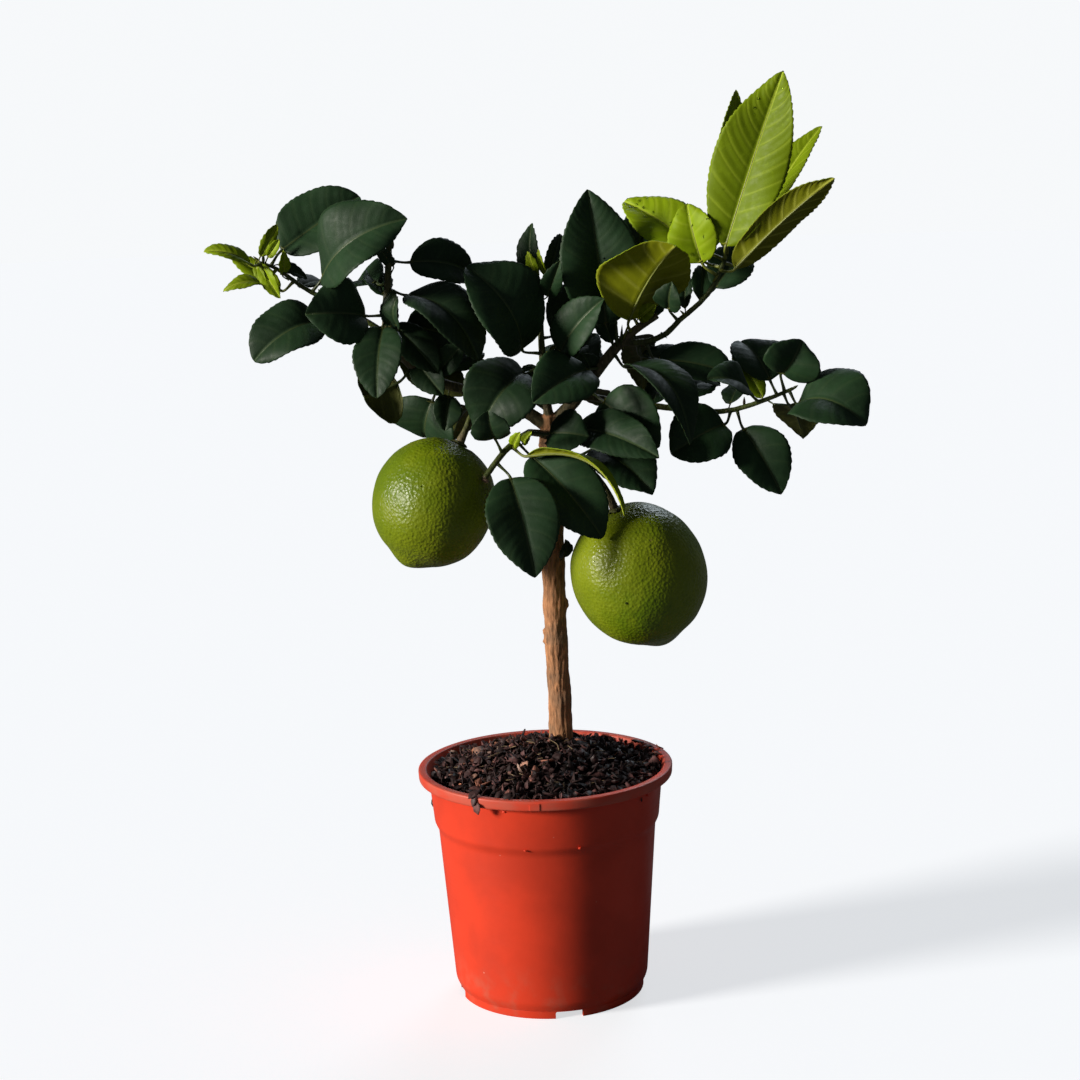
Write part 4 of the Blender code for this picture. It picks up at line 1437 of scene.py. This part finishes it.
def leaf_materials(look, young):
    """Upper face, lower face and stalk."""
    if young:
        # Partly painted light: the young faces' colours are brightened for light shining through the thin blades.
        return [
            leaf_material("young_leaf_top", look.young, (0.36, 0.46, 0.030), 0.50, 1.0, 0.35, 0.13),
            leaf_material(
                "young_leaf_under", look.young_under, (0.42, 0.44, 0.060), 0.55, 1.6, 0.35, 0.18, 0.65,
            ),
            stalk_material("young_stalk", (0.22, 0.25, 0.03)),
        ]
    return [
        leaf_material("mature_leaf_top", look.mature, (0.036, 0.066, 0.024), 0.56, 1.6, 0.60, 0.24, 0.32),
        leaf_material("mature_leaf_under", look.mature_under, (0.125, 0.14, 0.035), 0.60, 1.6, 0.5, 0.22, 0.6),
        stalk_material("mature_stalk", (0.060, 0.085, 0.020)),
    ]


class LEMON_OT_leaves(bpy.types.Operator):
    """Models every leaf that has a CAD solid, on the line that the solid gives it."""

    bl_idname = "lemon_tree.leaves"
    bl_label = "Leaves"

    def execute(self, context):
        look = context.scene.lemon_tree.leaf
        wood = node_tree("tree_wood")
        mature, young = leaf_materials(look, False), leaf_materials(look, True)
        for node in sorted(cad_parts):
            if not node.startswith("leaf_"):
                continue
            name = node[len("leaf_"):]
            is_young = name in YOUNG
            slot = "young_leaf" if is_young else "mature_leaf"
            materials = young if is_young else mature
            make_leaf(name + "_leaf", blade_of(node, wood), look, materials, is_young, slot, node)
        self.small(look, wood, "mature", mature)
        self.small(look, wood, "young", young)
        return {"FINISHED"}

    @staticmethod
    def small(look, wood, kind, materials):
        """The small leaves of one kind, as one piece."""
        shape = bmesh.new()
        for i, (place, reach, width, face, sort) in enumerate(SMALL_LEAVES):
            if sort != kind:
                continue
            blade = small_blade(wood, place, reach, width, face)
            add_blade(shape, blade, traits_of(f"small {i}", kind == "young"), look, veins_deep=0.6)
            add_stalk(shape, blade, look, thickness=0.00042)
        finish_piece(shape, f"small_{kind}_leaves", materials, kind + "_leaf")


# ---------------------------------------------------------------- buds, thorns and cut ends


# Buds and thorns: a place by the twig and the reach to the tip in millimetres, the thickness
# and the colour: 0 green, 1 yellow, 2 brown, 3 pale.
BUDS = (
    ((3, 0, 370), (0.3, -3, 12), 2.2, 1), ((45, 0, 356), (-0.3, -3, 16), 1.9, 0),
    ((47, 0, 357), (0.6, -5, 11), 1.7, 0), ((43, 2, 356), (-1.3, 2, 10), 1.6, 0),
    ((49, 1, 359), (3, -3, 9), 1.4, 1), ((-139, 0, 408), (0.2, -1, 5), 1.7, 0),
    ((-142, 0, 407), (-3, -2, 3), 1.3, 1), ((-73, 2, 411), (0.4, -1, 6), 2.4, 0),
    ((-74, 1, 398), (-3, -3, 4), 1.6, 0), ((6, 3, 387), (2.5, -2, 5), 1.5, 0),
    ((112, 4, 322), (-0.1, -2, 5), 1.6, 2), ((125, 2, 323), (4, -5, -2), 1.0, 0),
    ((62, 8, 322), (-1, -4, -4), 1.1, 0), ((36, 3, 345), (-3, -4, 2), 1.1, 0),
    ((69, 1, 361), (3, -4, -3), 1.1, 0), ((81, -1, 371), (-3, -3, 3), 1.3, 1),
    ((97, -2, 388), (3, -3, 4), 1.4, 1), ((104, 2, 402), (0, -2, 6), 2.0, 1),
    ((-55, 0, 342), (-2, -4, -4), 1.2, 0), ((-30, 2, 334), (0, -4, 5), 1.2, 0),
    ((-110, -1, 387), (-2, -3, 4), 1.3, 0), ((20, 4, 325), (-4, -3, 1), 1.5, 2),
    ((8, 2, 305), (-4, -5, 0), 2.6, 2), ((138, 0, 330), (3, -1, 2), 1.6, 0),
)


class LEMON_OT_buds(bpy.types.Operator):
    """Models the buds and thorns along the twigs, and the cut end of the front shoot."""

    bl_idname = "lemon_tree.buds"
    bl_label = "Buds"

    def execute(self, context):
        wood = node_tree("tree_wood")
        shape = bmesh.new()
        for place, reach, width, colour in BUDS:
            bark = wood.find_nearest(Vector(place) * MM)[0]
            reach = Vector(reach) * MM
            start = bark - reach.normalized() * 0.0006
            path = [start + reach * t for t in (0, 0.15, 0.35, 0.6, 0.82, 1.0)]
            radii = [width * MM / 2 * share for share in (0.62, 0.90, 1.0, 0.80, 0.42, 0.07)]
            sweep(shape, path, radii, sides=10, up=Vector((0.2, 1, 0.1)), index=colour)
        self.cut_end(shape, wood)
        colours = ((0.055, 0.080, 0.012), (0.24, 0.26, 0.030), (0.050, 0.030, 0.020), (0.40, 0.24, 0.17))
        names = ("green_bud", "yellow_bud", "brown_bud", "cut_wood")
        materials = [stalk_material(name, colour) for name, colour in zip(names, colours)]
        finish_piece(shape, "buds_and_thorns", materials, "bark")
        return {"FINISHED"}

    @staticmethod
    def cut_end(shape, wood):
        """The pale end where the front shoot was cut."""
        bark, normal, _, _ = wood.find_nearest(Vector((-28, -38, 290)) * MM)
        path = [bark + normal * out for out in (-0.0006, 0.0003, 0.0010, 0.0013)]
        sweep(shape, path, [0.0017, 0.0019, 0.0016, 0.0007], sides=14, up=Vector((1, 0, 0)), index=3)


# ---------------------------------------------------------------- drops of water


# The pieces that carry drops, how many, and the radius of a usual one in millimetres
DROPS = (
    ("shoot_left_leaf", 26, 0.75), ("shoot_upright_leaf", 16, 0.70), ("shoot_top_leaf", 9, 0.60),
    ("right_veined_leaf", 5, 0.55), ("right_upright_leaf", 6, 0.55), ("lemon_right_peel", 10, 0.80),
    ("lemon_left_peel", 4, 0.60),
)


class LEMON_OT_drops(bpy.types.Operator):
    """Sets clear drops of water on the youngest leaves and the lemons."""

    bl_idname = "lemon_tree.drops"
    bl_label = "Drops"

    def execute(self, context):
        rng = random.Random(11)
        shape = bmesh.new()
        for name, count, usual in DROPS:
            piece = bpy.data.objects.get(name)
            if piece is None:
                raise RuntimeError(name + " must be modelled before its drops")
            skin = [
                face for face in piece.data.polygons
                if face.material_index == 0 and face.normal.y < 0.3 and face.normal.z > -0.3
            ] or list(piece.data.polygons)
            for _ in range(count):
                face = rng.choice(skin)
                size = usual * MM * rng.uniform(0.45, 1.35)
                drop = bmesh.ops.create_icosphere(shape, subdivisions=2, radius=size)["verts"]
                seat = frame_matrix(face.center, face.normal, UP) @ Matrix.Diagonal((1, 1, 0.55, 1))
                bmesh.ops.transform(shape, matrix=seat, verts=drop)
        finish_piece(shape, "water_drops", [water_material()], "young_leaf")
        return {"FINISHED"}


# ---------------------------------------------------------------- stage


class LEMON_OT_stage(bpy.types.Operator):
    """Sets the pale floor, the studio lights and the camera."""

    bl_idname = "lemon_tree.stage"
    bl_label = "Stage"

    def execute(self, context):
        stage = context.scene.lemon_tree.stage
        self.floor(stage)
        self.lights(stage)
        self.sky(context.scene, stage)
        camera = bpy.data.cameras.new("camera")
        camera.lens = stage.lens
        camera.sensor_width = 36
        camera.clip_start = 0.01
        obj = bpy.data.objects.new("camera", camera)
        turn = Matrix.Rotation(math.pi / 2 - stage.tilt, 4, "X") @ Matrix.Rotation(stage.roll, 4, "Z")
        obj.matrix_world = Matrix.Translation((0.0009, -1.25, 0.4975)) @ turn
        context.scene.collection.objects.link(obj)
        context.scene.camera = obj
        context.scene.view_settings.view_transform = "Standard"
        return {"FINISHED"}

    @staticmethod
    def floor(stage):
        shape = bmesh.new()
        bmesh.ops.create_circle(shape, cap_ends=True, segments=96, radius=6)
        bmesh.ops.translate(shape, vec=(0, 0, POT_LOW.z), verts=shape.verts)
        mesh = bpy.data.meshes.new("floor")
        shape.to_mesh(mesh)
        shape.free()
        look = Shader("floor", 1.0, Specular_IOR_Level=0.0, Emission_Color=(0.97, 0.985, 1, 1))
        seen = look.node("LightPath").outputs["Is Camera Ray"]
        look.colour(look.mix(seen, [c * 0.34 for c in stage.floor], stage.floor))
        glow = look.math("MULTIPLY", seen, stage.glow)
        look.tree.links.new(glow, look.principled.inputs["Emission Strength"])
        mesh.materials.append(look.material)
        floor = bpy.data.objects.new("floor", mesh)
        bpy.context.scene.collection.objects.link(floor)

    @staticmethod
    def lights(stage):
        """A soft warm key from the left and a weak cool one from behind."""
        rows = (
            ("key", (-0.86, -0.32, 0.235), 14, stage.key, (1.0, 0.95, 0.87)),
            ("back", (0.25, 0.85, 0.55), 25, 0.13 * stage.key, (0.80, 0.90, 1.0)),
        )
        for name, place, spread, power, colour in rows:
            light = bpy.data.lights.new(name, "SUN")
            light.angle = math.radians(spread)
            light.energy = power
            light.color = colour
            obj = bpy.data.objects.new(name, light)
            obj.location = place
            obj.rotation_euler = (-Vector(place)).to_track_quat("-Z", "Y").to_euler()
            bpy.context.scene.collection.objects.link(obj)

    @staticmethod
    def sky(scene, stage):
        """Pale behind the tree, and a dimmer, cooler light on it."""
        world = bpy.data.worlds.new("studio")
        world.use_nodes = True
        tree = world.node_tree
        tree.nodes.clear()
        output = tree.nodes.new("ShaderNodeOutputWorld")
        chosen = tree.nodes.new("ShaderNodeMixShader")
        seen = tree.nodes.new("ShaderNodeBackground")
        seen.inputs["Color"].default_value = (0.927, 0.944, 0.960, 1)
        fill = tree.nodes.new("ShaderNodeBackground")
        fill.inputs["Color"].default_value = (0.80, 0.88, 1.0, 1)
        fill.inputs["Strength"].default_value = stage.fill
        path = tree.nodes.new("ShaderNodeLightPath")
        tree.links.new(path.outputs["Is Camera Ray"], chosen.inputs[0])
        tree.links.new(fill.outputs[0], chosen.inputs[1])
        tree.links.new(seen.outputs[0], chosen.inputs[2])
        tree.links.new(chosen.outputs[0], output.inputs["Surface"])
        scene.world = world


# ---------------------------------------------------------------- panel and main


class LEMON_PT_panel(bpy.types.Panel):
    """Lists the tree's pieces and settings."""

    bl_idname = "LEMON_PT_panel"
    bl_label = "Lemon Tree"
    bl_space_type = "VIEW_3D"
    bl_region_type = "UI"
    bl_category = "Lemon Tree"

    def draw(self, context):
        settings = context.scene.lemon_tree
        for operator in OPERATORS:
            self.layout.operator(operator.bl_idname)
        for key in ("pot", "bed", "wood", "fruit", "leaf", "stage"):
            box = self.layout.box()
            box.label(text=key.title())
            group = getattr(settings, key)
            for name in type(group).__annotations__:
                box.prop(group, name)


GROUPS = (
    LEMON_PG_pot, LEMON_PG_bed, LEMON_PG_wood, LEMON_PG_fruit, LEMON_PG_leaf, LEMON_PG_stage,
    LEMON_PG_tree,
)
OPERATORS = (
    LEMON_OT_pot, LEMON_OT_bed, LEMON_OT_husks, LEMON_OT_wood, LEMON_OT_fruit, LEMON_OT_leaves,
    LEMON_OT_buds, LEMON_OT_drops, LEMON_OT_stage,
)


def register():
    for cls in GROUPS + OPERATORS + (LEMON_PT_panel,):
        bpy.utils.register_class(cls)
    bpy.types.Scene.lemon_tree = bpy.props.PointerProperty(type=LEMON_PG_tree)


def unregister():
    del bpy.types.Scene.lemon_tree
    for cls in reversed(GROUPS + OPERATORS + (LEMON_PT_panel,)):
        bpy.utils.unregister_class(cls)


def main():
    register()
    bpy.ops.lemon_tree.pot()
    bpy.ops.lemon_tree.bed()
    bpy.ops.lemon_tree.husks()
    bpy.ops.lemon_tree.wood()
    bpy.ops.lemon_tree.fruit()
    bpy.ops.lemon_tree.leaves()
    bpy.ops.lemon_tree.buds()
    bpy.ops.lemon_tree.drops()
    bpy.ops.lemon_tree.stage()


if __name__ == "__main__":
    main()
